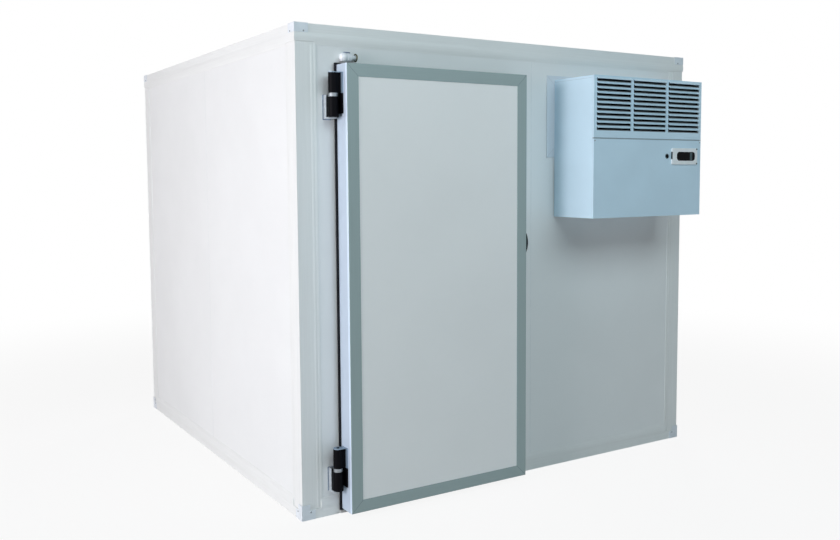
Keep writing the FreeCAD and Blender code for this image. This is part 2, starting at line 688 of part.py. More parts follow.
def wall_bracket(level, under):
    """An aluminium cradle on the wall: plate, cheek and shelf."""
    sheet_thick = S["bracket_sheet"]
    foot = under - S["wall_barrel"]
    near = HINGE_X - S["bracket_side"]
    x = (near, HINGE_X + S["bracket_inner"])
    z = (foot - sheet_thick, under + S["bracket_rise"])
    plate = box(f"bracket_plate_{level}", x, (WALL_FRONT - sheet_thick, WALL_FRONT), z)
    cheek = box(f"bracket_cheek_{level}", (near, near + sheet_thick / 2),
                (WALL_FRONT - S["bracket_reach"], WALL_FRONT), z)
    shelf = box(f"bracket_shelf_{level}", x, (HINGE_Y, WALL_FRONT), (z[0], foot))
    return fuse(f"bracket_{level}", [plate, cheek, shelf])


def wall_barrel(level, under):
    """The fixed barrel, held in the bracket by a lug."""
    foot = under - S["wall_barrel"]
    round_part = cylinder(f"wall_round_{level}", S["barrel_radius"], S["wall_barrel"],
                          HINGE_X, HINGE_Y, foot)
    lug = box(f"wall_lug_{level}",
              (HINGE_X - S["bracket_side"] + S["bracket_sheet"] / 2, HINGE_X + S["lug_width"] / 2),
              (HINGE_Y, WALL_FRONT - S["bracket_sheet"]), (foot, under))
    play = S["pin_play"] / 2
    bore = cylinder(f"wall_bore_{level}", S["pin_radius"] + play, S["pin_reach"] + play,
                    HINGE_X, HINGE_Y, under - S["pin_reach"] - play)
    return cut(f"wall_barrel_{level}", fuse(f"wall_solid_{level}", [round_part, lug]), bore)


def hinge_pin(level, under, over):
    """A steel pin with the washer that carries the leaf."""
    reach = S["pin_reach"]
    pin = cylinder(f"pin_{level}", S["pin_radius"], reach + S["washer_high"] + reach,
                   HINGE_X, HINGE_Y, under - reach)
    washer = cylinder(f"washer_{level}", S["washer_radius"], over - under - S["fit_gap"],
                      HINGE_X, HINGE_Y, under)
    return fuse(f"hinge_pin_{level}", [pin, washer])


def plate_limits():
    """Front and back of the hinge plates and buffers on the leaf's side."""
    middle = HINGE_Y - S["lug_width"] / 4
    half = S["leaf_plate_wide"] / 2
    return middle - half, middle + half


def leaf_plate(level, over):
    """The hinge's fixing plate on the leaf's side, with a round shelf over the barrel."""
    top = over + S["leaf_barrel"]
    shelf_top = top + S["leaf_shelf"]
    radius = S["leaf_radius"]
    plate = box(f"leaf_plate_{level}", (LEAF_LEFT - S["leaf_plate"], LEAF_LEFT), plate_limits(),
                (over, shelf_top))
    bridge = box(f"leaf_bridge_{level}", (HINGE_X, LEAF_LEFT),
                 (HINGE_Y - radius, HINGE_Y + radius / 2), (top, shelf_top))
    shelf = cylinder(f"leaf_shelf_{level}", radius, S["leaf_shelf"], HINGE_X, HINGE_Y, top)
    return fuse(f"leaf_cradle_{level}", [plate, bridge, shelf])


def leaf_barrel(level, under, over):
    """The moving barrel with its lug."""
    top = over + S["leaf_barrel"]
    plate_face = LEAF_LEFT - S["leaf_plate"]
    half = S["lug_width"] / 2
    round_part = cylinder(f"leaf_round_{level}", S["leaf_radius"], S["leaf_barrel"],
                          HINGE_X, HINGE_Y, over)
    lug = box(f"leaf_lug_{level}", (HINGE_X, plate_face), (HINGE_Y - half, HINGE_Y + half),
              (over, top))
    bore = cylinder(f"leaf_bore_{level}", S["pin_radius"] + S["pin_play"],
                    S["pin_reach"] + S["pin_play"], HINGE_X, HINGE_Y, over)
    return cut(f"leaf_barrel_{level}", fuse(f"leaf_solid_{level}", [round_part, lug]), bore)


def build_buffers():
    """Black buffers on the leaf's side, beside the wall's barrels."""
    buffers = []
    for level_name, washer in WASHERS.items():
        top = washer + S["washer_high"] / 2 - S["fit_gap"]
        buffers.append(box(f"buffer_{level_name}", (LEAF_LEFT - S["tongue"], LEAF_LEFT),
                           plate_limits(), (top - S["wall_barrel"], top)))
    group("hinge_buffers", buffers)


def build_handle():
    """A bow handle on the edge of the leaf away from the hinges."""
    body = new_body("door_handle")
    half, reach, bar, plate = (S[name] for name in (
        "handle_half", "handle_reach", "handle_bar", "handle_plate"))
    bow = new_sketch(body, "XZ_Plane", "bow")
    outline(bow, [(ZERO, -half), (plate, -half, (reach, ZERO)), (plate, half), (ZERO, half)])
    solid = pad(body, bow, S["handle_deep"], middle=True)
    rims = edges_where(solid, lambda edge: isinstance(edge.Curve, Part.Circle))
    fillet(body, solid, rims, bar / 4)
    grip = new_sketch(body, "XZ_Plane", "grip")
    inner = half - bar * 1.6
    outline(grip, [(plate, -inner, (reach - bar, ZERO)), (plate, inner)])
    pocket(body, grip)
    middle = LEAF_BACK - S["leaf_thick"] / 2
    keep(place(body, LEAF_RIGHT, middle, S["handle_level"]), "door_handle")


def build_fitting():
    """The small round fitting on the wall over the door's hinge corner."""
    radius, length = S["fitting_radius"], S["fitting_length"]
    middle_y = WALL_FRONT - radius
    middle_z = LEAF_TOP + S["fitting_rise"] + radius
    left = LEFT + S["fitting_left"]
    body = new_body("fitting_housing")
    barrel = disc(body, "barrel", radius, length)
    end = edges_where(barrel, lambda edge: edge.BoundBox.XMax < 1)
    fillet(body, barrel, end, S["fitting_dome"])
    disc(body, "neck", S["neck_radius"], S["neck_length"], length)
    collar_start = length + S["neck_length"]
    collar = disc(body, "collar", S["collar_radius"], S["collar_length"], collar_start)
    outer = S["collar_radius"].value - 1
    rims = edges_where(collar, lambda edge: edge.BoundBox.XMin > collar_start.value - 1
                       and edge.BoundBox.ZMax > outer and edge.BoundBox.ZMin < -outer)
    fillet(body, collar, rims, S["collar_length"] / 4)
    hollow = new_sketch(body, "YZ_Plane", "hollow", collar_start + S["collar_length"])
    circle(hollow, S["collar_bore"])
    pocket(body, hollow, S["collar_length"] / 2)
    place(body, left, middle_y, middle_z)
    foot = box("fitting_foot", (left + radius / 2, left + length - radius / 2),
               (middle_y, WALL_FRONT), (middle_z - radius * 0.8, middle_z + radius * 0.8))
    keep(fuse("door_switch", [body, foot]), "door_switch")


def build_unit_case():
    """The unit's sheet case, its cover and the flange on the wall."""
    skin = S["unit_sheet"]
    outer = box("case_solid", (UNIT_LEFT, UNIT_RIGHT), (UNIT_CASE_FRONT, FRONT),
                (UNIT_BOTTOM, UNIT_CASE_TOP))
    inner = box("case_space", (UNIT_LEFT + skin, UNIT_RIGHT - skin),
                (UNIT_CASE_FRONT - OVERCUT, FRONT - skin),
                (UNIT_BOTTOM + skin, UNIT_CASE_TOP - skin))
    keep(cut("unit_case", outer, inner), "unit_case")
    cover = new_body("unit_cover")
    plan = new_sketch(cover, "XY_Plane", "plan")
    wide, deep = UNIT_WIDTH, S["unit_reach"] - S["front_return"]
    rectangle(plan, (ZERO, wide), (ZERO, deep))
    tray = pad(cover, plan, S["cover_lip"])
    rims = edges_where(tray, lambda edge: edge.BoundBox.ZMin > 1 and runs_along(edge, "y"))
    fillet(cover, tray, rims, skin)
    hollow = new_sketch(cover, "XY_Plane", "hollow")
    rectangle(hollow, (skin, wide - skin), (skin, deep - skin))
    pocket(cover, hollow, S["cover_lip"] - skin, reverse=True)
    keep(place(cover, UNIT_LEFT, UNIT_CASE_FRONT, UNIT_CASE_TOP), "unit_cover")
    flange = new_body("unit_flange")
    ring = new_sketch(flange, "XZ_Plane", "ring")
    width = FLANGE_RIGHT - FLANGE_LEFT
    height = FLANGE_TOP - FLANGE_LOW
    bar = S["flange_bar"]
    rectangle(ring, (ZERO, width), (ZERO, height))
    rectangle(ring, (bar, width - bar), (bar, height - bar))
    pad(flange, ring, S["trim_depth"])
    keep(place(flange, FLANGE_LEFT, WALL_FRONT, FLANGE_LOW), "unit_flange")


def front_tray(label, height, z):
    """A folded sheet panel with its returns towards the wall; the front face lies at y = 0."""
    body = new_body(label)
    face = new_sketch(body, "XZ_Plane", "face")
    wide, skin = UNIT_WIDTH, S["unit_sheet"]
    rectangle(face, (ZERO, wide), (ZERO, height))
    pad(body, face, S["front_return"], reverse=True)
    hollow = new_sketch(body, "XZ_Plane", "hollow", -S["front_return"])
    rectangle(hollow, (skin, wide - skin), (skin, height - skin))
    pocket(body, hollow, S["front_return"] - skin, reverse=True)
    place(body, UNIT_LEFT, UNIT_FRONT, z)
    return body


def build_unit_front():
    """The louvred panel, the plain panel below it and the controller."""
    grille = front_tray("unit_grille", S["grille_height"], GRILLE_BOTTOM)
    slots = new_sketch(grille, "XZ_Plane", "slots")
    top = S["grille_height"] - S["louvre_first"]
    margin = S["louvre_margin"]
    length = (UNIT_WIDTH - margin * 4) / 3
    starts = [margin + (length + margin) * column for column in range(3)]
    for start in starts:
        rectangle(slots, (start, start + length), (top - S["louvre_slot"], top))
    repeated = [pocket(grille, slots, S["front_return"])]
    out, drop, blade = S["blade_out"], S["blade_drop"], S["blade_sheet"]
    for column, start in enumerate(starts):
        side = new_sketch(grille, "YZ_Plane", f"blade_{column}", start)
        outline(side, [(S["unit_sheet"], top), (ZERO, top), (-out, top - drop),
                       (-out + blade, top - drop - blade / 2), (blade, top - blade * 2),
                       (S["unit_sheet"], top - blade * 2)])
        repeated.append(pad(grille, side, length))
    rows = grille.newObject("PartDesign::LinearPattern", "louvre_rows")
    rows.Originals = repeated
    rows.Direction = (new_direction(grille, "Z_Axis"), [""])
    rows.Reversed = True
    bind(rows, "Length", S["louvre_pitch"] * (S["louvre_rows"].value - 1))
    rows.Occurrences = int(S["louvre_rows"].value)
    grille.Tip = rows
    keep(grille, "unit_grille")
    lower = LOWER_TOP - UNIT_BOTTOM
    keep(front_tray("unit_front_panel", lower, UNIT_BOTTOM), "unit_front_panel")
    build_controller()


def circle(sketch, radius):
    """Draw a circle round the sketch's own origin."""
    edge = sketch.addGeometry(Part.Circle(FreeCAD.Vector(0, 0, 0), UP, radius.value), False)
    sketch.addConstraint(Sketcher.Constraint("Coincident", edge, 3, -1, 1))
    rule = sketch.addConstraint(Sketcher.Constraint("Radius", edge, radius.value))
    sketch.setExpression(f"Constraints[{rule}]", radius.text)


def disc(body, name, radius, length, start=ZERO):
    """A round stretch of a body along its X axis."""
    face = new_sketch(body, "YZ_Plane", name, start)
    circle(face, radius)
    return pad(body, face, length)


def new_direction(body, role):
    """One of the body's own axes."""
    return next(item for item in body.Origin.OriginFeatures if item.Role == role)


def rounded_plate(label, wide, tall, deep, bend):
    """A plate with round corners whose back lies at y = 0 and whose front faces -Y."""
    body = new_body(label)
    face = new_sketch(body, "XZ_Plane", "face")
    rectangle(face, (ZERO, wide), (ZERO, tall))
    plate = pad(body, face, deep)
    fillet(body, plate, edges_where(plate, lambda edge: runs_along(edge, "y")), bend)
    return body


def build_controller():
    """The controller's bezel, its dark window and the round button beside it."""
    bezel = rounded_plate("unit_controller", S["bezel_width"], S["bezel_height"],
                          S["bezel_out"], S["bezel_round"])
    recess = new_sketch(bezel, "XZ_Plane", "recess", S["bezel_out"])
    left, gap = S["window_left"], S["fit_gap"]
    low = (S["bezel_height"] - S["window_height"]) / 2
    rectangle(recess, (left - gap, left + S["window_width"] + gap),
              (low - gap, low + S["window_height"] + gap))
    hollow = pocket(bezel, recess, S["window_deep"])
    inside = edges_where(hollow, lambda edge: runs_along(edge, "y")
                         and edge.BoundBox.XMin > left.value / 2
                         and edge.BoundBox.XMax < S["bezel_width"].value - S["bezel_round"].value)
    fillet(bezel, hollow, inside, S["window_round"])
    keep(place(bezel, BEZEL_LEFT, UNIT_FRONT, BEZEL_BOTTOM), "unit_controller")
    window = rounded_plate("unit_display", S["window_width"], S["window_height"],
                           S["window_deep"] - gap, S["window_round"])
    recess_floor = UNIT_FRONT - S["bezel_out"] + S["window_deep"]
    keep(place(window, BEZEL_LEFT + left, recess_floor, BEZEL_BOTTOM + low), "unit_display")
    button = new_body("unit_button")
    face = new_sketch(button, "XZ_Plane", "face")
    circle(face, S["button_radius"])
    dome = pad(button, face, S["button_out"])
    rim = edges_where(dome, lambda edge: edge.BoundBox.YMax < -1)
    fillet(button, dome, rim, S["button_out"] / 3)
    keep(place(button, BEZEL_LEFT - S["button_gap"], UNIT_FRONT,
               BEZEL_TOP - S["bezel_height"] / 2), "unit_button")


def write_parts():
    """Check every object and shape, then write one file for each sub-part."""
    doc.recompute()
    for thing in doc.Objects:
        if {"Invalid", "Error"} & set(thing.State):
            raise RuntimeError(f"{thing.Label} did not compute")
    for piece in SUBPARTS:
        if piece.Shape.isNull() or not piece.Shape.isValid():
            raise RuntimeError(f"{piece.Label} has no valid shape")
        if piece.Shape.Volume <= 0:
            raise RuntimeError(f"{piece.Label} is empty")
        piece.Shape.exportStep(f"parts/{piece.Label}.step")
    print(len(SUBPARTS), "sub-parts,", sum(len(p.Shape.Solids) for p in SUBPARTS), "solids")


build_panels()
build_profiles()
build_door_frame()
build_leaf()
build_hinges()
build_buffers()
build_handle()
build_fitting()
build_unit_case()
build_unit_front()
write_parts()
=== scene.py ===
"""Walk-in cold room: finishes, fittings and studio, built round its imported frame."""

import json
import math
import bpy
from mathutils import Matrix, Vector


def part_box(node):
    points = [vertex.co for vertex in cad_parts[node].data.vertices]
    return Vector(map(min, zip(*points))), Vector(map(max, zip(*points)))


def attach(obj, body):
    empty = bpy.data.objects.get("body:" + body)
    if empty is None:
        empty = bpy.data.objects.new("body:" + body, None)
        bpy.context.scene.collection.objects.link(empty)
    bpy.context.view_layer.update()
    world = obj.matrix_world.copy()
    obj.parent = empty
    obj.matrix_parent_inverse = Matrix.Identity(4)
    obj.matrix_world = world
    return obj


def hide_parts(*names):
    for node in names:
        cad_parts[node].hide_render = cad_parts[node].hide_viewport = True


bl_info = {
    "name": "Walk-in cold room",
    "version": (1, 0, 0),
    "blender": (4, 5, 0),
    "location": "3D View > Sidebar > Cold Room",
    "description": "Adds the finishes, seals, screws and controls of a panelled cold room",
    "category": "Object",
}

import bpy
from mathutils import Vector

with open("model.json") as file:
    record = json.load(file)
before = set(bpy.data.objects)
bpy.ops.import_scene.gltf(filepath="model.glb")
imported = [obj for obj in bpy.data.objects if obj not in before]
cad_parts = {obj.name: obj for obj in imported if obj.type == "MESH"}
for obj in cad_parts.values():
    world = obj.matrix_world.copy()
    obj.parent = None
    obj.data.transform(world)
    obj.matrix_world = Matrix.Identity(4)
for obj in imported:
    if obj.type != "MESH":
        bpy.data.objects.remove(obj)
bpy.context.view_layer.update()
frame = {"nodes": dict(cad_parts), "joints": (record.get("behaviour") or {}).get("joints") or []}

MM = 0.001
ROOM = "room"
DOOR = "door"
NODES = frame["nodes"]
HINGE_AXIS = Vector(frame["joints"][0]["pos_m"])

LEAF_LOW, LEAF_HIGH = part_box("door_edge_left")[0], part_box("door_edge_right")[1]
CASE_LOW, CASE_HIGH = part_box("unit_case")
LOWER_LOW, LOWER_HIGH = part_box("unit_front_panel")
GRILLE_LOW, GRILLE_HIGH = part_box("unit_grille")
BEZEL_LOW, BEZEL_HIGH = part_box("unit_controller")
WINDOW_LOW, WINDOW_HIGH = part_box("unit_display")
BUTTON_LOW, BUTTON_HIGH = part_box("unit_button")
FLANGE_LOW, FLANGE_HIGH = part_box("unit_flange")
FITTING_LOW, FITTING_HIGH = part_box("door_switch")
PIN_LOW, PIN_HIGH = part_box("hinge_pins")
PIN_LENGTH = 136 * MM
# How far back from the leaf's front the painted highlight on its left side reaches.
LEAF_HIGHLIGHT_BAND = 14 * MM
LOUVRE_TOP = 300 * MM
LOUVRE_MARGIN = 19.5 * MM
LOUVRE_PITCH = 23.9 * MM
LOUVRE_SLOT = 19.5 * MM
LOUVRE_ROWS, LOUVRE_COLUMNS = 11, 3
HINGE_SPACING = PIN_HIGH.z - PIN_LOW.z - PIN_LENGTH
SHELF_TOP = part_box("hinge_leaf_plates")[1].z
CAPS_LOW, CAPS_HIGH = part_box("roof_corner_caps")
WALL_LEFT, WALL_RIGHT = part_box("left_wall_front")[0].x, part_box("right_wall_front")[1].x
WALL_FRONT, WALL_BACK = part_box("front_wall_header")[0].y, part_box("back_wall_left")[1].y
ROOF_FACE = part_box("ceiling_panel_left")[1].z
PROFILE_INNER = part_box("base_profile_left")[1].z
UNIT_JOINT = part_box("front_wall_unit_side")[0].x
PANEL_TOP = ROOF_FACE - PROFILE_INNER + 6 * MM

# The corner profiles: how deep they reach into the wall, and the slats beside the angle.
ANGLE_SUNK = 10 * MM
SLATS = 2
SLAT_GAP = 1 * MM
SLAT_SUNK = 2 * MM
SLAT_EDGE = 0.5 * MM

# The shares of a noise between which a finish goes from its one tone to its other.
SOFT_PATCHES = (0.35, 0.65)
CLEAR_PATCHES = (0.3, 0.7)
FULL_GRAIN = (0.2, 0.8)

# The studio. Each light has its place, the point that it looks at, and its width and height.
SIDE_LIGHT = ((-7.0, -1.9, 1.9), (-1.2, -0.8, 1.0), (3.0, 3.0))
HIGH_LIGHT = ((-0.6, -5.6, 4.8), (0.0, -1.2, 1.2), (6.0, 2.5))
BACK_LIGHT = ((6.0, 6.5, 3.8), (0.6, 0.6, 1.1), (3.0, 3.0))
WHITE = (1, 1, 1, 1)
FLOOR_SIZE = 60
FLOOR_PAPER = (0.68, 0.68, 0.68, 1)
WHITE_BY_OBJECT = 0.9
OBJECT_REACH, WHITE_REACH = 2.2, 6.0
CAMERA_PLACE = (-2.8001, -4.7954, 1.5364)
CAMERA_TURN = (85.4932, 0.3246, -32.1732)
CAMERA_LENS, CAMERA_SENSOR = 38.4406, 36.0
CAMERA_SHIFT = (-0.00673, -0.02764)


def linear(code):
    """An sRGB hex colour as the linear one that Blender works in."""
    parts = [int(code[start:start + 2], 16) / 255 for start in (1, 3, 5)]
    return [part / 12.92 if part <= 0.04045 else ((part + 0.055) / 1.055) ** 2.4
            for part in parts]


def colour(name, code, description):
    """A colour that the sidebar offers."""
    return bpy.props.FloatVectorProperty(
        name=name, description=description, subtype="COLOR", size=3, min=0.0, max=1.0,
        default=linear(code))


def length(name, value, description):
    """A length that the sidebar offers, in metres."""
    return bpy.props.FloatProperty(
        name=name, description=description, subtype="DISTANCE", unit="LENGTH", min=0.0,
        precision=4, default=value)


class ColdRoomSizes(bpy.types.PropertyGroup):
    """Sizes of the small pieces."""

    seal_width: length("Seal width", 4 * MM, "Width of the sealant over a panel joint")
    seal_rise: length("Seal rise", 0.6 * MM, "Height of the sealant above the panels")
    angle_width: length("Corner angle", 72 * MM, "Width of a corner profile's flat angle")
    angle_rise: length("Angle rise", 1.2 * MM, "Height of the angle above the panels")
    cover_slat: length("Cover slat", 15 * MM, "Width of a slat beside the angle, with its gap")
    cover_rise: length("Cover rise", 1.6 * MM, "Height of the slats above the panels")
    screw_head: length("Screw head", 4 * MM, "Radius of a corner cap's screw")
    screw_corner: length("Screw to corner", 44 * MM, "Corner of the room to a cap's screw")
    screw_level: length("Screw to edge", 35 * MM, "Roof or ground to a cap's screw")
    # The pads' rim shows as a slate outline round each hinge bracket: painted shade, built as a pad.
    shade_pad_rim: length("Pad rim", 4 * MM, "How far a hinge bracket's pad shows round it")
    panel_screw: length("Panel screw", 3.2 * MM, "Radius of a screw in the unit's front")
    mitre_line: length("Mitre line", 1.3 * MM, "Width of the joint line at a mitre")
    fin_pitch: length("Fin pitch", 5 * MM, "Distance between the coil's fins")
    fin_sheet: length("Fin sheet", 0.6 * MM, "Thickness of a fin")
    fin_depth: length("Fin depth", 22 * MM, "Depth of the coil behind the louvres")


class ColdRoomColours(bpy.types.PropertyGroup):
    """Colours of the finishes."""

    panel: colour("Panels", "#EEF0F0", "Coated sheet of the walls and roof")
    profile: colour("Profiles", "#EDEFEE", "Extruded profiles along the edges")
    cap: colour("Corner caps", "#E4EAF0", "Moulded caps over the corners")
    door_skin: colour("Door skin", "#FAFAF9", "Coated sheet of the door leaf")
    door_frame: colour("Door frame", "#93A5A6", "Coated aluminium round the door leaf")
    door_side: colour("Door side", "#C2CFDE", "Anodised side of the door leaf")
    rubber: colour("Gasket", "#121319", "Rubber of the door gasket")
    nylon: colour("Hinge barrels", "#08080C", "Moulded nylon of hinges and handle")
    alloy: colour("Hinge brackets", "#C6CDD3", "Bare aluminium of the hinges")
    plate: colour("Hinge plates", "#8C9FB1", "Plates that carry the leaf on its hinges")
    zinc: colour("Fasteners", "#8F959A", "Zinc-plated screws and pins")
    # The pads' slate colour is painted shade round the hinge brackets.
    pad: colour("Bracket pads", "#8390A4", "Rubber pads under the hinge brackets")
    unit_sheet: colour("Unit", "#D2EBFA", "Powder-coated sheet of the unit")
    flange: colour("Unit's flange", "#DCE4EC", "Coated strips round the unit's wall opening")
    bezel: colour("Controller", "#F4F7F9", "Moulded frame of the controller")
    keys: colour("Keys", "#4A5A5E", "Keys of the controller and rim of its button")
    window: colour("Window", "#05070C", "Dark window of the controller")
    walkway: colour("Floor plate", "#B9BDBC", "Slip-resistant floor covering")
    sealant: colour("Sealant", "#E8EBEC", "Silicone in the joints")
    # The coil is real, and its near-black colour is painted shade behind the louvres.
    coil: colour("Coil", "#08090B", "Fins behind the louvres")
    fitting: colour("Door fitting", "#EEF1F6", "Housing over the door's corner")
    # The fitting's dark top is painted shade along the housing's top rim, built as a cap.
    fitting_top: colour("Fitting's top", "#5E6E8C", "Cap on the housing over the door")
    brass: colour("Fitting's ring", "#5C5A45", "Ring at the end of the housing")


def add_node(tree, kind, inputs=None, **settings):
    """Add a shader node, set its options and link or set its inputs."""
    node = tree.nodes.new(kind)
    for name, value in settings.items():
        setattr(node, name, value)
    for socket, value in (inputs or {}).items():
        if isinstance(value, bpy.types.NodeSocket):
            tree.links.new(value, node.inputs[socket])
        else:
            node.inputs[socket].default_value = value
    return node


def start_finish(name, **sockets):
    """A material with its shader and the object's own coordinates."""
    material = bpy.data.materials.new(name)
    material.use_nodes = True
    tree = material.node_tree
    tree.nodes.clear()
    settings = {socket.replace("_", " "): value for socket, value in sockets.items()}
    shader = add_node(tree, "ShaderNodeBsdfPrincipled", settings)
    add_node(tree, "ShaderNodeOutputMaterial", {"Surface": shader.outputs["BSDF"]})
    place = add_node(tree, "ShaderNodeTexCoord").outputs["Object"]
    return material, tree, shader, place


def tint(base, factor):
    """A colour made lighter or darker, with its alpha."""
    return [min(1.0, part * factor) for part in base] + [1.0]


def clouds(tree, place, size, detail=3.0, stretch=(1, 1, 1)):
    """Soft noise whose patches are about size metres across, drawn out along stretch."""
    drawn = add_node(tree, "ShaderNodeMapping", {"Vector": place, "Scale": stretch})
    noise = add_node(tree, "ShaderNodeTexNoise",
                     {"Vector": drawn.outputs["Vector"], "Scale": 1 / size, "Detail": detail})
    return noise.outputs["Fac"]


def blend_colours(tree, factor, first, second):
    """A mix of two colours by a factor."""
    return add_node(tree, "ShaderNodeMix", {0: factor, 6: first, 7: second},
                    data_type="RGBA").outputs[2]


def spread(tree, value, low, high, to_low=0.0, to_high=1.0):
    """A value moved from one range to another, with soft ends."""
    return add_node(tree, "ShaderNodeMapRange",
                    {"Value": value, "From Min": low, "From Max": high,
                     "To Min": to_low, "To Max": to_high},
                    interpolation_type="SMOOTHSTEP").outputs["Result"]


def raise_surface(tree, shader, height, distance, strength=1.0):
    """Let a pattern stand up from the surface by a real height."""
    bump = add_node(tree, "ShaderNodeBump",
                    {"Height": height, "Distance": distance, "Strength": strength})
    tree.links.new(bump.outputs["Normal"], shader.inputs["Normal"])


def mitre_mask(tree, place, low, high, width):
    """1 on the diagonal joints at the corners of an upright rectangle, and 0 elsewhere."""
    axes = add_node(tree, "ShaderNodeSeparateXYZ", {"Vector": place})

    def edge_distance(axis, near, far):
        from_near = add_node(tree, "ShaderNodeMath", {0: axes.outputs[axis], 1: near},
                             operation="SUBTRACT")
        from_far = add_node(tree, "ShaderNodeMath", {0: far, 1: axes.outputs[axis]},
                            operation="SUBTRACT")
        return add_node(tree, "ShaderNodeMath",
                        {0: from_near.outputs[0], 1: from_far.outputs[0]},
                        operation="MINIMUM").outputs[0]

    across = edge_distance("X", low.x, high.x)
    along = edge_distance("Z", low.z, high.z)
    gap = add_node(tree, "ShaderNodeMath", {0: across, 1: along}, operation="SUBTRACT")
    size = add_node(tree, "ShaderNodeMath", {0: gap.outputs[0]}, operation="ABSOLUTE")
    return spread(tree, size.outputs[0], width * 0.35, width, 1.0, 0.0)


def line_at(tree, place, axis, level, width):
    """1 within half a width of a level on one axis, and 0 elsewhere."""
    axes = add_node(tree, "ShaderNodeSeparateXYZ", {"Vector": place})
    away = add_node(tree, "ShaderNodeMath", {0: axes.outputs[axis], 1: level},
                    operation="SUBTRACT")
    size = add_node(tree, "ShaderNodeMath", {0: away.outputs[0]}, operation="ABSOLUTE")
    return spread(tree, size.outputs[0], width * 0.3, width * 0.6, 1.0, 0.0)


def coated_sheet(name, base, roughness, patch=0.5, peel=0.15 * MM):
    """Coil-coated steel: even and satin, with a very soft waviness from the foam behind it."""
    material, tree, shader, place = start_finish(name, Roughness=roughness)
    shade = spread(tree, clouds(tree, place, patch, 4.0), *SOFT_PATCHES)
    tree.links.new(blend_colours(tree, shade, tint(base, 0.975), tint(base, 1.0)),
                   shader.inputs["Base Color"])
    wear = spread(tree, clouds(tree, place, 0.12), *CLEAR_PATCHES, roughness - 0.05, roughness + 0.09)
    tree.links.new(wear, shader.inputs["Roughness"])
    raise_surface(tree, shader, clouds(tree, place, 0.02, 2.0), peel, 0.35)
    return material


def share_between(tree, value, pitch, low, high):
    """1 where a value, counted in pitches, has its fraction between two shares, and else 0."""
    counted = add_node(tree, "ShaderNodeMath", {0: value, 1: pitch}, operation="DIVIDE")
    share = add_node(tree, "ShaderNodeMath", {0: counted.outputs[0]}, operation="FRACT")
    above = add_node(tree, "ShaderNodeMath", {0: share.outputs[0], 1: low},
                     operation="GREATER_THAN")
    below = add_node(tree, "ShaderNodeMath", {0: share.outputs[0], 1: high},
                     operation="LESS_THAN")
    return add_node(tree, "ShaderNodeMath", {0: above.outputs[0], 1: below.outputs[0]},
                    operation="MULTIPLY").outputs[0]


def louvre_painted_shade(tree, place):
    """1 on the strip of sheet under each louvre's slot: painted shade, where the blade above shades
    the sheet.
    """
    axes = add_node(tree, "ShaderNodeSeparateXYZ", {"Vector": place})
    down = add_node(tree, "ShaderNodeMath",
                    {0: GRILLE_LOW.z + LOUVRE_TOP, 1: axes.outputs["Z"]}, operation="SUBTRACT")
    across = add_node(tree, "ShaderNodeMath",
                      {0: axes.outputs["X"], 1: GRILLE_LOW.x + LOUVRE_MARGIN},
                      operation="SUBTRACT")
    column = (GRILLE_HIGH.x - GRILLE_LOW.x - LOUVRE_MARGIN) / LOUVRE_COLUMNS
    strip = share_between(tree, down.outputs[0], LOUVRE_PITCH, LOUVRE_SLOT / LOUVRE_PITCH, 1.0)
    inside = share_between(tree, across.outputs[0], column, 0.0, 1 - LOUVRE_MARGIN / column)
    half = LOUVRE_PITCH * LOUVRE_ROWS / 2
    rows = add_node(tree, "ShaderNodeMath", {0: down.outputs[0], 1: half, 2: half},
                    operation="COMPARE")
    both = add_node(tree, "ShaderNodeMath", {0: strip, 1: inside}, operation="MULTIPLY")
    return add_node(tree, "ShaderNodeMath", {0: both.outputs[0], 1: rows.outputs[0]},
                    operation="MULTIPLY").outputs[0]


def powder_coat(name, base, folds=(), fold_width=1.6 * MM, louvres=False):
    """Powder-coated steel: a fine orange peel about 2 mm across, dark lines at the folds, and with
    louvres a painted shade on the strip under each slot.
    """
    material, tree, shader, place = start_finish(name, Roughness=0.36)
    shade = spread(tree, clouds(tree, place, 0.25, 4.0), *SOFT_PATCHES)
    paint = blend_colours(tree, shade, tint(base, 0.96), tint(base, 1.0))
    for axis, level in folds:
        paint = blend_colours(tree, line_at(tree, place, axis, level, fold_width), paint,
                              tint(base, 0.45))
    if louvres:
        # Painted shade: the strip under each louvre's slot is made nearly black, as if the blade
        # above shaded it.
        paint = blend_colours(tree, louvre_painted_shade(tree, place), paint, tint(base, 0.1))
    tree.links.new(paint, shader.inputs["Base Color"])
    raise_surface(tree, shader, clouds(tree, place, 2 * MM, 1.0), 0.05 * MM, 0.5)
    return material


def extrusion(name, base, roughness, metallic, along, mitres=None, line=0.0, side=None,
              depth=0.34):
    """An extruded profile: faint lines along its length, dark mitres, and a paler side with a painted
    highlight along its front edge.
    """
    material, tree, shader, place = start_finish(name, Metallic=metallic)
    lines = clouds(tree, place, 3 * MM, 2.0, [0.01 if axis == along else 1.0 for axis in "XYZ"])
    shade = spread(tree, lines, *CLEAR_PATCHES)
    paint = blend_colours(tree, shade, tint(base, 0.965), tint(base, 1.0))
    if mitres:
        dark = mitre_mask(tree, place, mitres[0], mitres[1], line)
        paint = blend_colours(tree, dark, paint, tint(base, depth))
    if side:
        axes = add_node(tree, "ShaderNodeSeparateXYZ", {"Vector": place})
        outer = spread(tree, axes.outputs["X"], side[0], side[0] + 0.5 * MM, 1.0, 0.0)
        # Painted highlight: the side's colour is made 1.35 times lighter along its front edge.
        edge_highlight = spread(tree, axes.outputs["Y"], side[1], side[1] + 3 * MM, 1.0, 0.0)
        side_with_highlight = blend_colours(tree, edge_highlight, tint(side[2], 1.0), tint(side[2], 1.35))
        paint = blend_colours(tree, outer, paint, side_with_highlight)
    tree.links.new(paint, shader.inputs["Base Color"])
    tree.links.new(spread(tree, lines, *CLEAR_PATCHES, roughness - 0.04, roughness + 0.06),
                   shader.inputs["Roughness"])
    raise_surface(tree, shader, lines, 0.04 * MM, 0.5)
    return material


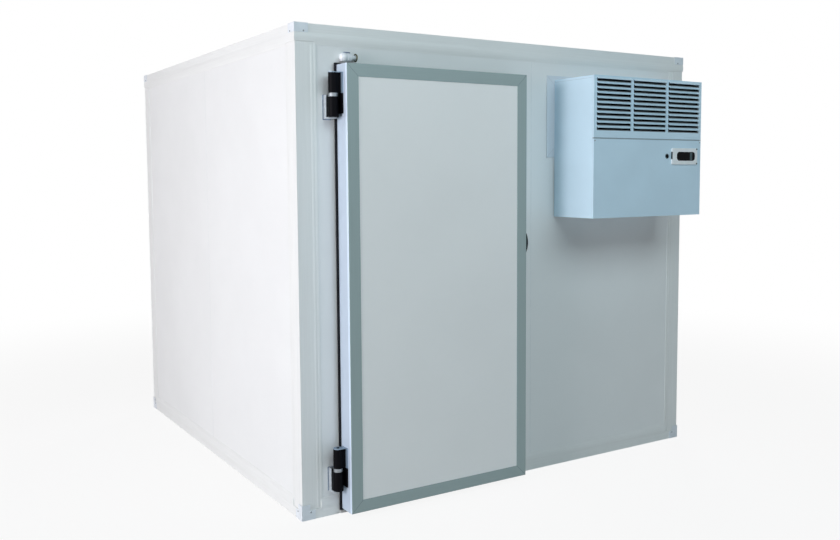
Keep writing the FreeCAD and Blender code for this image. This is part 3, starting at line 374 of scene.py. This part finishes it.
def moulded_plastic(name, base, roughness, grain=1.5 * MM, shine=0.5):
    """Moulded plastic: an even colour under a fine sparked grain."""
    material, tree, shader, place = start_finish(name, Specular_IOR_Level=shine)
    shade = spread(tree, clouds(tree, place, 0.04), *CLEAR_PATCHES)
    tree.links.new(blend_colours(tree, shade, tint(base, 0.95), tint(base, 1.03)),
                   shader.inputs["Base Color"])
    texture = clouds(tree, place, grain, 1.0)
    tree.links.new(spread(tree, texture, *FULL_GRAIN, roughness - 0.05, roughness + 0.05),
                   shader.inputs["Roughness"])
    raise_surface(tree, shader, texture, 0.03 * MM, 0.6)
    return material


def gasket_rubber(name, base):
    """Extruded soft rubber: matt black with a dusty bloom."""
    material, tree, shader, place = start_finish(name, Roughness=0.72, Specular_IOR_Level=0.2)
    bloom = spread(tree, clouds(tree, place, 0.03, 4.0), 0.45, 0.75)
    tree.links.new(blend_colours(tree, bloom, tint(base, 0.8), tint(base, 1.8)),
                   shader.inputs["Base Color"])
    raise_surface(tree, shader, clouds(tree, place, 1 * MM, 1.0), 0.05 * MM, 0.4)
    return material


def bare_metal(name, base, roughness, grain=0.8 * MM, metallic=1.0):
    """Bare alloy or zinc-plated steel: a metal whose reflections a fine grain breaks up."""
    material, tree, shader, place = start_finish(name, Metallic=metallic)
    shade = spread(tree, clouds(tree, place, 0.015, 3.0), *CLEAR_PATCHES)
    tree.links.new(blend_colours(tree, shade, tint(base, 0.86), tint(base, 1.05)),
                   shader.inputs["Base Color"])
    texture = clouds(tree, place, grain, 2.0)
    tree.links.new(spread(tree, texture, *FULL_GRAIN, roughness - 0.08, roughness + 0.1),
                   shader.inputs["Roughness"])
    raise_surface(tree, shader, texture, 0.02 * MM, 0.5)
    return material


def smoked_window(name, base):
    """Polished dark acrylic: nearly black under a clear gloss, a little dusty."""
    material, tree, shader, place = start_finish(name, IOR=1.49, Specular_IOR_Level=0.05)
    dust = spread(tree, clouds(tree, place, 0.02, 5.0), 0.5, 0.8)
    tree.links.new(blend_colours(tree, dust, tint(base, 0.9), tint(base, 2.2)),
                   shader.inputs["Base Color"])
    tree.links.new(spread(tree, dust, 0.0, 1.0, 0.06, 0.16), shader.inputs["Roughness"])
    return material


def walkway_plate(name, base):
    """Phenolic floor board: matt grey, with a pressed grip of 8 mm cells."""
    material, tree, shader, place = start_finish(name, Roughness=0.6)
    cells = add_node(tree, "ShaderNodeTexVoronoi", {"Vector": place, "Scale": 1 / (8 * MM)},
                     feature="DISTANCE_TO_EDGE").outputs["Distance"]
    grip = spread(tree, cells, 0.02, 0.14)
    worn = spread(tree, clouds(tree, place, 0.3, 4.0), 0.35, 0.7)
    worn_colour = blend_colours(tree, worn, tint(base, 0.82), tint(base, 1.0))
    tree.links.new(blend_colours(tree, grip, tint(base, 0.7), worn_colour),
                   shader.inputs["Base Color"])
    raise_surface(tree, shader, grip, 0.3 * MM, 0.6)
    return material


def finish(key):
    """The material of a finish, made once."""
    made = bpy.data.materials.get(key)
    return made if made else FINISHES[key](key, bpy.context.scene.cold_room_colours)


def seen(group, name):
    """A colour of the sidebar as plain numbers."""
    return list(getattr(group, name))


def door_extrusion(key, colours, along):
    """The coated aluminium channel round the leaf, with its mitred corners and a painted highlight
    along the front of its left side.
    """
    line = bpy.context.scene.cold_room_sizes.mitre_line
    side = (LEAF_LOW.x + 0.2 * MM, LEAF_LOW.y + LEAF_HIGHLIGHT_BAND, seen(colours, "door_side"))
    return extrusion(key, seen(colours, "door_frame"), 0.42, 0.2, along,
                     (LEAF_LOW, LEAF_HIGH), line, side)


def case_finish(key, colours):
    """The unit's case, with the open joint before its front panels and under its cover."""
    return powder_coat(key, seen(colours, "unit_sheet"),
                       [("Y", CASE_LOW.y), ("Z", CASE_HIGH.z)])


def front_finish(key, colours):
    """The unit's front panels, with the shadow of the lap where the louvres meet the lower one, and
    on the louvres a painted shade under each slot.
    """
    return powder_coat(key, seen(colours, "unit_sheet"), [("Z", LOWER_HIGH.z)], 7 * MM,
                       key.endswith("louvres"))


def flange_finish(key, colours):
    """The unit's wall flange: four mitred strips of the unit's own coated sheet."""
    line = bpy.context.scene.cold_room_sizes.mitre_line
    return extrusion(key, seen(colours, "flange"), 0.5, 0.0, "Z", (FLANGE_LOW, FLANGE_HIGH),
                     line, depth=0.7)


FINISHES = {
    "coil_coated_steel": lambda key, c: coated_sheet(key, seen(c, "panel"), 0.42),
    "extruded_profile_upright": lambda key, c: extrusion(key, seen(c, "profile"), 0.4, 0.0, "Z"),
    "extruded_profile_level_x": lambda key, c: extrusion(key, seen(c, "profile"), 0.4, 0.0, "X"),
    "extruded_profile_level_y": lambda key, c: extrusion(key, seen(c, "profile"), 0.4, 0.0, "Y"),
    "moulded_cap": lambda key, c: moulded_plastic(key, seen(c, "cap"), 0.42),
    "coated_door_skin": lambda key, c: coated_sheet(key, seen(c, "door_skin"), 0.44, 0.35),
    "coated_aluminium_upright": lambda key, c: door_extrusion(key, c, "Z"),
    "coated_aluminium_level": lambda key, c: door_extrusion(key, c, "X"),
    "gasket_rubber": lambda key, c: gasket_rubber(key, seen(c, "rubber")),
    "black_nylon": lambda key, c: moulded_plastic(key, seen(c, "nylon"), 0.5, shine=0.05),
    "anodised_aluminium": lambda key, c: bare_metal(key, seen(c, "alloy"), 0.5, metallic=0.6),
    "anodised_plate": lambda key, c: bare_metal(key, seen(c, "plate"), 0.5, metallic=0.5),
    "zinc_plated_steel": lambda key, c: bare_metal(key, seen(c, "zinc"), 0.5, metallic=0.8),
    # Pads whose slate rim is painted shade round the hinge brackets.
    "pad_rubber": lambda key, c: gasket_rubber(key, seen(c, "pad")),
    "powder_coated_steel": lambda key, c: powder_coat(key, seen(c, "unit_sheet")),
    "powder_coated_case": case_finish,
    "powder_coated_front": front_finish,
    "powder_coated_louvres": front_finish,
    "coated_flange": flange_finish,
    "moulded_abs": lambda key, c: moulded_plastic(key, seen(c, "bezel"), 0.35),
    "smoked_acrylic": lambda key, c: smoked_window(key, seen(c, "window")),
    "grey_keys": lambda key, c: moulded_plastic(key, seen(c, "keys"), 0.5, shine=0.2),
    "phenolic_floor": lambda key, c: walkway_plate(key, seen(c, "walkway")),
    "silicone": lambda key, c: moulded_plastic(key, seen(c, "sealant"), 0.5, 4 * MM),
    # Near-black fins: painted shade behind the louvres.
    "coated_fins": lambda key, c: bare_metal(key, seen(c, "coil"), 0.5),
    "glossy_housing": lambda key, c: moulded_plastic(key, seen(c, "fitting"), 0.2),
    # The dark cap along the fitting's top is painted shade.
    "fitting_cap": lambda key, c: moulded_plastic(key, seen(c, "fitting_top"), 0.4),
    "aged_brass": lambda key, c: bare_metal(key, seen(c, "brass"), 0.35),
}

NODE_FINISHES = {
    "phenolic_floor": ["floor_panel_left", "floor_panel_middle", "floor_panel_right"],
    "coil_coated_steel": [
        "ceiling_panel_left", "ceiling_panel_right", "left_wall_front", "left_wall_back",
        "right_wall_front", "right_wall_back", "back_wall_left", "back_wall_right",
        "front_wall_hinge_side", "front_wall_header", "front_wall_latch_side",
        "front_wall_unit_side", "unit_plug", "door_sill"],
    "extruded_profile_upright": [
        "corner_profile_front_left", "corner_profile_front_right", "corner_profile_back_left",
        "corner_profile_back_right", "door_frame_left", "door_frame_right"],
    "extruded_profile_level_x": [
        "roof_profile_front", "roof_profile_back", "base_profile_front", "base_profile_back",
        "door_frame_head"],
    "extruded_profile_level_y": [
        "roof_profile_left", "roof_profile_right", "base_profile_left", "base_profile_right"],
    "moulded_cap": ["roof_corner_caps", "bottom_corner_caps"],
    "coated_door_skin": ["door_panel"],
    "coated_aluminium_upright": ["door_edge_left", "door_edge_right"],
    "coated_aluminium_level": ["door_edge_top", "door_edge_bottom"],
    "gasket_rubber": ["door_gasket"],
    "black_nylon": ["hinge_wall_barrels", "hinge_leaf_barrels", "hinge_buffers", "door_handle"],
    "anodised_aluminium": ["hinge_wall_brackets"],
    "anodised_plate": ["hinge_leaf_plates"],
    "zinc_plated_steel": ["hinge_pins"],
    "powder_coated_steel": ["unit_cover"],
    "powder_coated_front": ["unit_front_panel"],
    "powder_coated_louvres": ["unit_grille"],
    "powder_coated_case": ["unit_case"],
    "coated_flange": ["unit_flange"],
    "moulded_abs": ["unit_controller"],
    "smoked_acrylic": ["unit_display", "unit_button"],
    "glossy_housing": ["door_switch"],
}


def select_nothing():
    """Leave edit mode and drop the selection, so an operator acts on the new piece alone."""
    active = bpy.context.view_layer.objects.active
    if active and active.mode != "OBJECT":
        bpy.ops.object.mode_set(mode="OBJECT")
    bpy.ops.object.select_all(action="DESELECT")


def finish_piece(piece, name, key, body, smooth=30):
    """Place a piece's mesh in the room's frame, name it, coat it and let it ride."""
    select_nothing()
    piece.select_set(True)
    bpy.context.view_layer.objects.active = piece
    bpy.ops.object.transform_apply(location=True, rotation=True, scale=True)
    bpy.ops.object.shade_smooth_by_angle(angle=math.radians(smooth))
    piece.name = name
    piece.data.name = name
    piece.data.materials.clear()
    piece.data.materials.append(finish(key))
    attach(piece, body)
    return piece


def eased_block(low, high, edge):
    """A block between two corners with its edges eased in edit mode."""
    low, high = Vector(low), Vector(high)
    select_nothing()
    bpy.ops.mesh.primitive_cube_add(size=1, location=(low + high) / 2)
    block = bpy.context.object
    bpy.ops.object.mode_set(mode="EDIT")
    bpy.ops.transform.resize(value=high - low)
    bpy.ops.mesh.bevel(offset=edge, segments=3, affect="EDGES")
    bpy.ops.object.mode_set(mode="OBJECT")
    return block


def turned(origin, axis, profile, steps=28):
    """A round piece turned about an axis from (distance along it, radius) points."""
    origin, axis = Vector(origin), Vector(axis).normalized()
    out = axis.orthogonal().normalized()
    points = [axis * along + out * radius for along, radius in profile]
    select_nothing()
    bpy.ops.mesh.primitive_plane_add(size=MM, location=origin)
    piece = bpy.context.object
    bpy.ops.object.mode_set(mode="EDIT")
    bpy.ops.mesh.merge(type="CENTER")
    bpy.ops.transform.translate(value=points[0])
    for before, after in zip(points, points[1:]):
        bpy.ops.mesh.extrude_region_move(TRANSFORM_OT_translate={"value": after - before})
    bpy.ops.mesh.select_all(action="SELECT")
    bpy.ops.mesh.spin(steps=steps, angle=math.tau, center=origin, axis=axis)
    bpy.ops.mesh.select_all(action="SELECT")
    bpy.ops.mesh.remove_doubles(threshold=0.01 * MM)
    bpy.ops.mesh.normals_make_consistent(inside=False)
    bpy.ops.object.mode_set(mode="OBJECT")
    return piece


def risen(outline, low, high):
    """An upright bar whose outline is given as (x, y) corners."""
    corners = [Vector((*corner, low)) for corner in outline]
    select_nothing()
    bpy.ops.mesh.primitive_plane_add(size=MM, location=(0, 0, 0))
    bar = bpy.context.object
    bpy.ops.object.mode_set(mode="EDIT")
    bpy.ops.mesh.merge(type="CENTER")
    bpy.ops.transform.translate(value=corners[0])
    for before, after in zip(corners, corners[1:]):
        bpy.ops.mesh.extrude_region_move(TRANSFORM_OT_translate={"value": after - before})
    bpy.ops.mesh.select_all(action="SELECT")
    bpy.ops.mesh.edge_face_add()
    bpy.ops.mesh.extrude_region_move(TRANSFORM_OT_translate={"value": (0, 0, high - low)})
    bpy.ops.mesh.select_all(action="SELECT")
    bpy.ops.mesh.normals_make_consistent(inside=False)
    bpy.ops.object.mode_set(mode="OBJECT")
    return bar


def joined(pieces):
    """Several pieces as one object."""
    select_nothing()
    for piece in pieces:
        piece.select_set(True)
    bpy.context.view_layer.objects.active = pieces[0]
    bpy.ops.object.join()
    return pieces[0]


def copied_to(source, spots):
    """Copies of a piece modelled at the origin along +Z, each with its own mesh."""
    copies = []
    for place, normal in spots:
        copy = source.copy()
        copy.data = source.data.copy()
        bpy.context.collection.objects.link(copy)
        copy.rotation_euler = Vector(normal).to_track_quat("Z", "Y").to_euler()
        copy.location = place
        copies.append(copy)
    bpy.data.objects.remove(source)
    return joined(copies)


def screw_head(radius):
    """A pan-head screw with a dished drive recess, along +Z at the origin."""
    rise = radius * 0.45
    return turned((0, 0, 0), (0, 0, 1), [
        (0.0, radius * 0.96), (rise * 0.35, radius), (rise * 0.75, radius * 0.82),
        (rise, radius * 0.52), (rise * 0.96, radius * 0.4), (rise * 0.3, radius * 0.28),
        (rise * 0.22, 0.0)], 20)


def corner_parts(sizes, wall, out):
    """One upright corner: its flat angle, and the slats beside it on both walls."""
    foot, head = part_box("corner_profile_front_left")
    backing = head.x - WALL_LEFT
    proud = sizes.angle_rise
    edge = proud - sizes.angle_width

    def at(x, y):
        return (wall[0] + out[0] * x, wall[1] + out[1] * y)

    parts = [risen([at(face, face), at(face, rim), at(-ANGLE_SUNK, rim),
                    at(-ANGLE_SUNK, -ANGLE_SUNK), at(rim, -ANGLE_SUNK), at(rim, face)],
                   foot.z, head.z)
             for face, rim in ((proud, edge), (proud / 2, -backing))]
    for number in range(SLATS):
        near = edge - number * sizes.cover_slat
        far = near - sizes.cover_slat + SLAT_GAP
        for ends in ((at(sizes.cover_rise, near), at(-SLAT_SUNK, far)),
                     (at(near, sizes.cover_rise), at(far, -SLAT_SUNK))):
            (left, right), (front, back) = (sorted(pair) for pair in zip(*ends))
            parts.append(eased_block((left, front, foot.z), (right, back, PANEL_TOP),
                                     SLAT_EDGE))
    return parts


class COLDROOM_OT_finishes(bpy.types.Operator):
    """Give every piece of the frame its finish"""

    bl_idname = "coldroom.finishes"
    bl_label = "Finishes"

    def execute(self, context):
        for key, names in NODE_FINISHES.items():
            for name in names:
                mesh = NODES[name].data
                mesh.materials.clear()
                mesh.materials.append(finish(key))
        return {"FINISHED"}


class COLDROOM_OT_corner_profiles(bpy.types.Operator):
    """Stand a flat angle with a cover of two slats on each side at every upright corner"""

    bl_idname = "coldroom.corner_profiles"
    bl_label = "Corner profiles"

    def execute(self, context):
        sizes = context.scene.cold_room_sizes
        parts = []
        for wall_x, out_x in ((WALL_LEFT, -1), (WALL_RIGHT, 1)):
            for wall_y, out_y in ((WALL_FRONT, -1), (WALL_BACK, 1)):
                parts += corner_parts(sizes, (wall_x, wall_y), (out_x, out_y))
        piece = finish_piece(joined(parts), "corner_profiles", "extruded_profile_upright", ROOM)
        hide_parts(*(name for name in NODES if name.startswith("corner_profile_")))
        return {"FINISHED"}


class COLDROOM_OT_joint_seals(bpy.types.Operator):
    """Lay a low bead of sealant over every joint between panels"""

    bl_idname = "coldroom.joint_seals"
    bl_label = "Joint seals"

    def execute(self, context):
        sizes = context.scene.cold_room_sizes
        half, rise = sizes.seal_width / 2, sizes.seal_rise
        low, high = PROFILE_INNER, PANEL_TOP
        reach = WALL_BACK - PROFILE_INNER
        runs = [
            ((WALL_LEFT - rise, -half, low), (WALL_LEFT + rise, half, high)),
            ((WALL_RIGHT - rise, -half, low), (WALL_RIGHT + rise, half, high)),
            ((-half, WALL_BACK - rise, low), (half, WALL_BACK + rise, high)),
            ((-half, -reach, ROOF_FACE - rise), (half, reach, ROOF_FACE + rise)),
            ((UNIT_JOINT - half, WALL_FRONT - rise, low),
             (UNIT_JOINT + half, WALL_FRONT + rise, high))]
        beads = [eased_block(start, end, rise * 0.8) for start, end in runs]
        finish_piece(joined(beads), "panel_joint_seals", "silicone", ROOM)
        return {"FINISHED"}


class COLDROOM_OT_cap_screws(bpy.types.Operator):
    """Fix every corner cap with screws on both its faces"""

    bl_idname = "coldroom.cap_screws"
    bl_label = "Corner cap screws"

    def execute(self, context):
        sizes = context.scene.cold_room_sizes
        near, far = CAPS_LOW.x, CAPS_HIGH.x
        inward = sizes.screw_corner
        top = CAPS_HIGH.z - sizes.screw_level
        spots = []
        for level in (top, sizes.screw_level):
            for side in (near, far):
                turn = math.copysign(1, side)
                along = side - turn * inward
                for end in (near, far):
                    face = math.copysign(1, end)
                    spots.append(((along, end, level), (0, face, 0)))
                    spots.append(((end, along, level), (face, 0, 0)))
        screws = copied_to(screw_head(sizes.screw_head), spots)
        finish_piece(screws, "corner_cap_screws", "zinc_plated_steel", ROOM)
        return {"FINISHED"}


class COLDROOM_OT_door_fitting(bpy.types.Operator):
    """Turn the domed housing and ring of the fitting over the door's corner"""

    bl_idname = "coldroom.door_fitting"
    bl_label = "Door fitting"

    def execute(self, context):
        radius = (FITTING_HIGH.z - FITTING_LOW.z) / 2
        middle = Vector((FITTING_LOW.x, FITTING_LOW.y + radius, FITTING_LOW.z + radius))
        ring_room = 8 * MM
        whole = FITTING_HIGH.x - FITTING_LOW.x - ring_room
        end, neck = 0.68 * whole, 0.84 * whole
        housing = turned(middle, (1, 0, 0), [
            (0.0, 0.0), (0.4 * MM, radius * 0.35), (3 * MM, radius * 0.64),
            (8 * MM, radius * 0.86), (15 * MM, radius * 0.98), (0.3 * whole, radius),
            (0.36 * whole, radius * 0.97), (0.38 * whole, radius * 0.9),
            (0.4 * whole, radius * 0.9), (0.42 * whole, radius * 0.97), (end, radius * 0.92),
            (end + 5 * MM, radius * 0.6), (neck, radius * 0.5), (whole - 4 * MM, radius * 0.5),
            (whole - 4 * MM, radius * 0.74), (whole - 2 * MM, radius * 0.74),
            (whole - 2 * MM, 0.0)], 36)
        foot = eased_block((FITTING_LOW.x + 10 * MM, middle.y, FITTING_LOW.z + 4 * MM),
                           (FITTING_LOW.x + end, WALL_FRONT, FITTING_HIGH.z - 4 * MM), 3 * MM)
        piece = finish_piece(joined([housing, foot]), "door_fitting_housing", "glossy_housing",
                             ROOM, 35)
        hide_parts("door_switch")
        wire = 3 * MM
        rim = [(whole - wire + wire * math.cos(turn), radius * 0.78 + wire * math.sin(turn))
               for turn in (math.tau * step / 12 for step in range(13))]
        ring = turned(middle, (1, 0, 0), rim, 36)
        finish_piece(ring, "door_fitting_ring", "aged_brass", ROOM, 60)
        # A thin dark cap along the housing's top: painted shade along its top rim, built as a cap.
        top = eased_block((FITTING_LOW.x + 0.22 * whole, middle.y - 8 * MM,
                           FITTING_HIGH.z - 2 * MM),
                          (FITTING_LOW.x + 0.6 * whole, middle.y + 8 * MM,
                           FITTING_HIGH.z + 2.5 * MM), 2 * MM)
        finish_piece(top, "door_fitting_top", "fitting_cap", ROOM)
        return {"FINISHED"}


class COLDROOM_OT_hinge_screws(bpy.types.Operator):
    """Put a dark dished screw into the shelf over each of the leaf's hinge barrels"""

    bl_idname = "coldroom.hinge_screws"
    bl_label = "Hinge screws"

    def execute(self, context):
        spots = [((HINGE_AXIS.x, HINGE_AXIS.y, top), (0, 0, 1))
                 for top in (SHELF_TOP, SHELF_TOP - HINGE_SPACING)]
        radius = 7 * MM
        screws = copied_to(screw_head(radius), spots)
        finish_piece(screws, "hinge_shelf_screws", "black_nylon", DOOR)
        return {"FINISHED"}


class COLDROOM_OT_bracket_pads(bpy.types.Operator):
    """Lay a thin rubber pad under each hinge bracket, a little larger than it at the outside, whose
    slate rim stands as painted shade round the bracket
    """

    bl_idname = "coldroom.bracket_pads"
    bl_label = "Bracket pads"

    def execute(self, context):
        rim = context.scene.cold_room_sizes.shade_pad_rim
        low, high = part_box("hinge_wall_brackets")
        tall = high.z - low.z - HINGE_SPACING
        pads = [eased_block((low.x - rim, WALL_FRONT - 2 * MM, bottom - rim),
                            (high.x - rim, WALL_FRONT + MM, bottom + tall + rim / 2), 0.6 * MM)
                for bottom in (low.z, low.z + HINGE_SPACING)]
        finish_piece(joined(pads), "hinge_bracket_pads", "pad_rubber", ROOM)
        return {"FINISHED"}


class COLDROOM_OT_unit_coil(bpy.types.Operator):
    """Stand the fins and fan plate behind the louvres, near-black as painted shade behind them"""

    bl_idname = "coldroom.unit_coil"
    bl_label = "Finned coil"

    def execute(self, context):
        sizes = context.scene.cold_room_sizes
        front = GRILLE_HIGH.y + 3 * MM
        back = front + sizes.fin_depth
        side = 8 * MM
        left, right = GRILLE_LOW.x + side, GRILLE_HIGH.x - side
        bottom, top = GRILLE_LOW.z + side, CASE_HIGH.z - side
        fin = eased_block((left, front, bottom), (left + sizes.fin_sheet, back, top),
                          sizes.fin_sheet * 0.3)
        row = fin.modifiers.new("row", "ARRAY")
        row.use_relative_offset = False
        row.use_constant_offset = True
        row.constant_offset_displace = (sizes.fin_pitch, 0, 0)
        row.count = int((right - left) / sizes.fin_pitch)
        bpy.ops.object.modifier_apply(modifier=row.name)
        plate = eased_block((left - side / 2, back, bottom - side / 2),
                            (right + side / 2, back + 3 * MM, top + side / 2), MM)
        finish_piece(joined([fin, plate]), "unit_finned_coil", "coated_fins", ROOM)
        return {"FINISHED"}


class COLDROOM_OT_unit_screws(bpy.types.Operator):
    """Put the screws into the upper corners of the unit's lower panel"""

    bl_idname = "coldroom.unit_screws"
    bl_label = "Unit screws"

    def execute(self, context):
        sizes = context.scene.cold_room_sizes
        inset, drop = 8 * MM, 12 * MM
        spots = [((across, LOWER_LOW.y, LOWER_HIGH.z - drop), (0, -1, 0))
                 for across in (LOWER_LOW.x + inset, LOWER_HIGH.x - inset)]
        screws = copied_to(screw_head(sizes.panel_screw), spots)
        finish_piece(screws, "unit_panel_screws", "zinc_plated_steel", ROOM)
        return {"FINISHED"}


class COLDROOM_OT_controls(bpy.types.Operator):
    """Add the slot, corner plugs and key strip of the controller and the button's ring"""

    bl_idname = "coldroom.controls"
    bl_label = "Controls"

    def execute(self, context):
        face = BEZEL_LOW.y
        middle = (BEZEL_LOW.z + BEZEL_HIGH.z) / 2
        slot_half, slot_level = 19 * MM, middle + 4 * MM
        dark = [eased_block((BEZEL_LOW.x - 0.6 * MM, face - 0.6 * MM, slot_level - slot_half),
                            (BEZEL_LOW.x + 2 * MM, face + 7 * MM, slot_level + slot_half),
                            0.5 * MM)]
        plug, inset = 4.5 * MM, 4.5 * MM
        for level in (BEZEL_LOW.z + inset, BEZEL_HIGH.z - inset):
            dark.append(turned((BEZEL_HIGH.x - inset, face + 0.5 * MM, level), (0, -1, 0),
                               [(0, plug), (1 * MM, plug * 0.93), (1.3 * MM, plug * 0.7),
                                (0.8 * MM, plug * 0.35), (0.8 * MM, 0)], 16))
        finish_piece(joined(dark), "controller_slot_and_plugs", "black_nylon", ROOM)
        strip_near, strip_far, rim = 38 * MM, 21 * MM, 3 * MM
        strip = eased_block((WINDOW_HIGH.x - strip_near, WINDOW_LOW.y - 0.4 * MM,
                             WINDOW_LOW.z + rim),
                            (WINDOW_HIGH.x - strip_far, WINDOW_LOW.y + MM,
                             WINDOW_HIGH.z - rim), 0.6 * MM)
        finish_piece(strip, "controller_key_strip", "grey_keys", ROOM)
        radius = (BUTTON_HIGH.x - BUTTON_LOW.x) / 2
        centre = Vector(((BUTTON_LOW.x + BUTTON_HIGH.x) / 2, BUTTON_HIGH.y,
                         (BUTTON_LOW.z + BUTTON_HIGH.z) / 2))
        ring = turned(centre, (0, -1, 0), [
            (0, radius + 4 * MM), (1.4 * MM, radius + 3.6 * MM), (2 * MM, radius + 2.6 * MM),
            (2 * MM, radius + 1 * MM), (0, radius + 0.3 * MM), (0, radius + 4 * MM)], 32)
        finish_piece(ring, "button_ring", "grey_keys", ROOM)
        return {"FINISHED"}


class ColdRoomLights(bpy.types.PropertyGroup):
    """Strength and colour of the studio's lights."""

    key_power: bpy.props.FloatProperty(
        name="Side light", description="Power of the soft light on the left", default=322.0,
        min=0.0, unit="POWER")
    key_colour: bpy.props.FloatVectorProperty(
        name="Side light colour", description="Colour of the soft light on the left",
        subtype="COLOR", size=3, default=(1.0, 0.97, 1.0))
    high_power: bpy.props.FloatProperty(
        name="High light", description="Power of the soft light before the front", default=163.0,
        min=0.0, unit="POWER")
    high_colour: bpy.props.FloatVectorProperty(
        name="High light colour", description="Colour of the soft light before the front",
        subtype="COLOR", size=3, default=(0.77, 0.94, 1.0))
    back_power: bpy.props.FloatProperty(
        name="Back light", description="Power of the soft light behind the room", default=380.0,
        min=0.0, unit="POWER")
    back_colour: bpy.props.FloatVectorProperty(
        name="Back light colour", description="Colour of the soft light behind the room",
        subtype="COLOR", size=3, default=(1.0, 0.93, 0.92))
    sky_colour: bpy.props.FloatVectorProperty(
        name="Room light", description="Even light from the studio round the object",
        subtype="COLOR", size=3, min=0.0, soft_max=1.0, default=(0.0, 0.0, 0.0))


def soft_light(name, place, target, size, power, tone):
    """A soft box of a width and a height that looks at a point."""
    bpy.ops.object.light_add(type="AREA", location=place)
    lamp = bpy.context.object
    lamp.name = name
    lamp.rotation_euler = (Vector(target) - Vector(place)).to_track_quat("-Z", "Y").to_euler()
    lamp.data.shape = "RECTANGLE"
    lamp.data.size, lamp.data.size_y = size
    lamp.data.energy = power
    lamp.data.color = tone
    return lamp


def plainly_seen(tree):
    """1 for rays that show the backdrop: those of the camera, reflections and glass."""
    path = add_node(tree, "ShaderNodeLightPath")
    shown = path.outputs["Is Camera Ray"]
    for kind in ("Is Glossy Ray", "Is Transmission Ray"):
        shown = add_node(tree, "ShaderNodeMath", {0: shown, 1: path.outputs[kind]},
                         operation="MAXIMUM").outputs[0]
    return shown


class COLDROOM_OT_stage(bpy.types.Operator):
    """Set up the white studio, its soft lights and the camera"""

    bl_idname = "coldroom.stage"
    bl_label = "Studio"

    def execute(self, context):
        scene = context.scene
        lights = scene.cold_room_lights
        scene.view_settings.view_transform = "Standard"
        select_nothing()
        bpy.ops.mesh.primitive_plane_add(size=FLOOR_SIZE)
        floor = context.object
        floor.name = "studio_floor"
        material = bpy.data.materials.new("studio_paper")
        material.use_nodes = True
        tree = material.node_tree
        tree.nodes.clear()
        paper = add_node(tree, "ShaderNodeBsdfDiffuse", {"Color": FLOOR_PAPER})
        glow = add_node(tree, "ShaderNodeEmission", {"Color": WHITE, "Strength": 1.0})
        place = add_node(tree, "ShaderNodeTexCoord").outputs["Object"]
        away = add_node(tree, "ShaderNodeVectorMath", {0: place}, operation="LENGTH")
        shown = spread(tree, away.outputs["Value"], OBJECT_REACH, WHITE_REACH,
                       WHITE_BY_OBJECT, 1.0)
        share = add_node(tree, "ShaderNodeMath", {0: plainly_seen(tree), 1: shown},
                         operation="MULTIPLY")
        mix = add_node(tree, "ShaderNodeMixShader",
                       {0: share.outputs[0], 1: paper.outputs[0], 2: glow.outputs[0]})
        add_node(tree, "ShaderNodeOutputMaterial", {"Surface": mix.outputs[0]})
        floor.data.materials.append(material)

        world = bpy.data.worlds.new("studio")
        scene.world = world
        world.use_nodes = True
        tree = world.node_tree
        tree.nodes.clear()
        sky = add_node(tree, "ShaderNodeBackground",
                       {"Color": [*lights.sky_colour, 1], "Strength": 1.0})
        white = add_node(tree, "ShaderNodeBackground", {"Color": WHITE, "Strength": 1.0})
        mix = add_node(tree, "ShaderNodeMixShader",
                       {0: plainly_seen(tree), 1: sky.outputs[0], 2: white.outputs[0]})
        add_node(tree, "ShaderNodeOutputWorld", {"Surface": mix.outputs[0]})

        soft_light("side_light", *SIDE_LIGHT, lights.key_power, lights.key_colour)
        soft_light("high_light", *HIGH_LIGHT, lights.high_power, lights.high_colour)
        soft_light("back_light", *BACK_LIGHT, lights.back_power, lights.back_colour)

        bpy.ops.object.camera_add(
            location=CAMERA_PLACE, rotation=[math.radians(turn) for turn in CAMERA_TURN])
        camera = context.object
        camera.name = "photo_camera"
        camera.data.lens = CAMERA_LENS
        camera.data.sensor_width = CAMERA_SENSOR
        camera.data.shift_x, camera.data.shift_y = CAMERA_SHIFT
        scene.camera = camera
        return {"FINISHED"}


OPERATORS = (
    COLDROOM_OT_finishes, COLDROOM_OT_corner_profiles, COLDROOM_OT_joint_seals,
    COLDROOM_OT_cap_screws, COLDROOM_OT_door_fitting, COLDROOM_OT_hinge_screws,
    COLDROOM_OT_bracket_pads, COLDROOM_OT_unit_coil, COLDROOM_OT_unit_screws,
    COLDROOM_OT_controls, COLDROOM_OT_stage)


class COLDROOM_PT_sidebar(bpy.types.Panel):
    """Buttons for every group of pieces"""

    bl_idname = "COLDROOM_PT_sidebar"
    bl_label = "Cold Room"
    bl_space_type = "VIEW_3D"
    bl_region_type = "UI"
    bl_category = "Cold Room"

    def draw(self, context):
        for operator in OPERATORS:
            self.layout.operator(operator.bl_idname)
        for group in (context.scene.cold_room_sizes, context.scene.cold_room_colours,
                      context.scene.cold_room_lights):
            box = self.layout.box()
            for name in group.__annotations__:
                box.prop(group, name)


GROUPS = {"cold_room_sizes": ColdRoomSizes, "cold_room_colours": ColdRoomColours,
          "cold_room_lights": ColdRoomLights}
CLASSES = (*GROUPS.values(), *OPERATORS, COLDROOM_PT_sidebar)


def register():
    """Add the classes and the settings to Blender."""
    for item in CLASSES:
        bpy.utils.register_class(item)
    for name, group in GROUPS.items():
        setattr(bpy.types.Scene, name, bpy.props.PointerProperty(type=group))


def unregister():
    """Take them out again."""
    for name in GROUPS:
        delattr(bpy.types.Scene, name)
    for item in reversed(CLASSES):
        bpy.utils.unregister_class(item)


def main():
    """Build the pieces in order."""
    register()
    for operator in OPERATORS:
        group, name = operator.bl_idname.split(".")
        getattr(getattr(bpy.ops, group), name)()


if __name__ == "__main__":
    main()
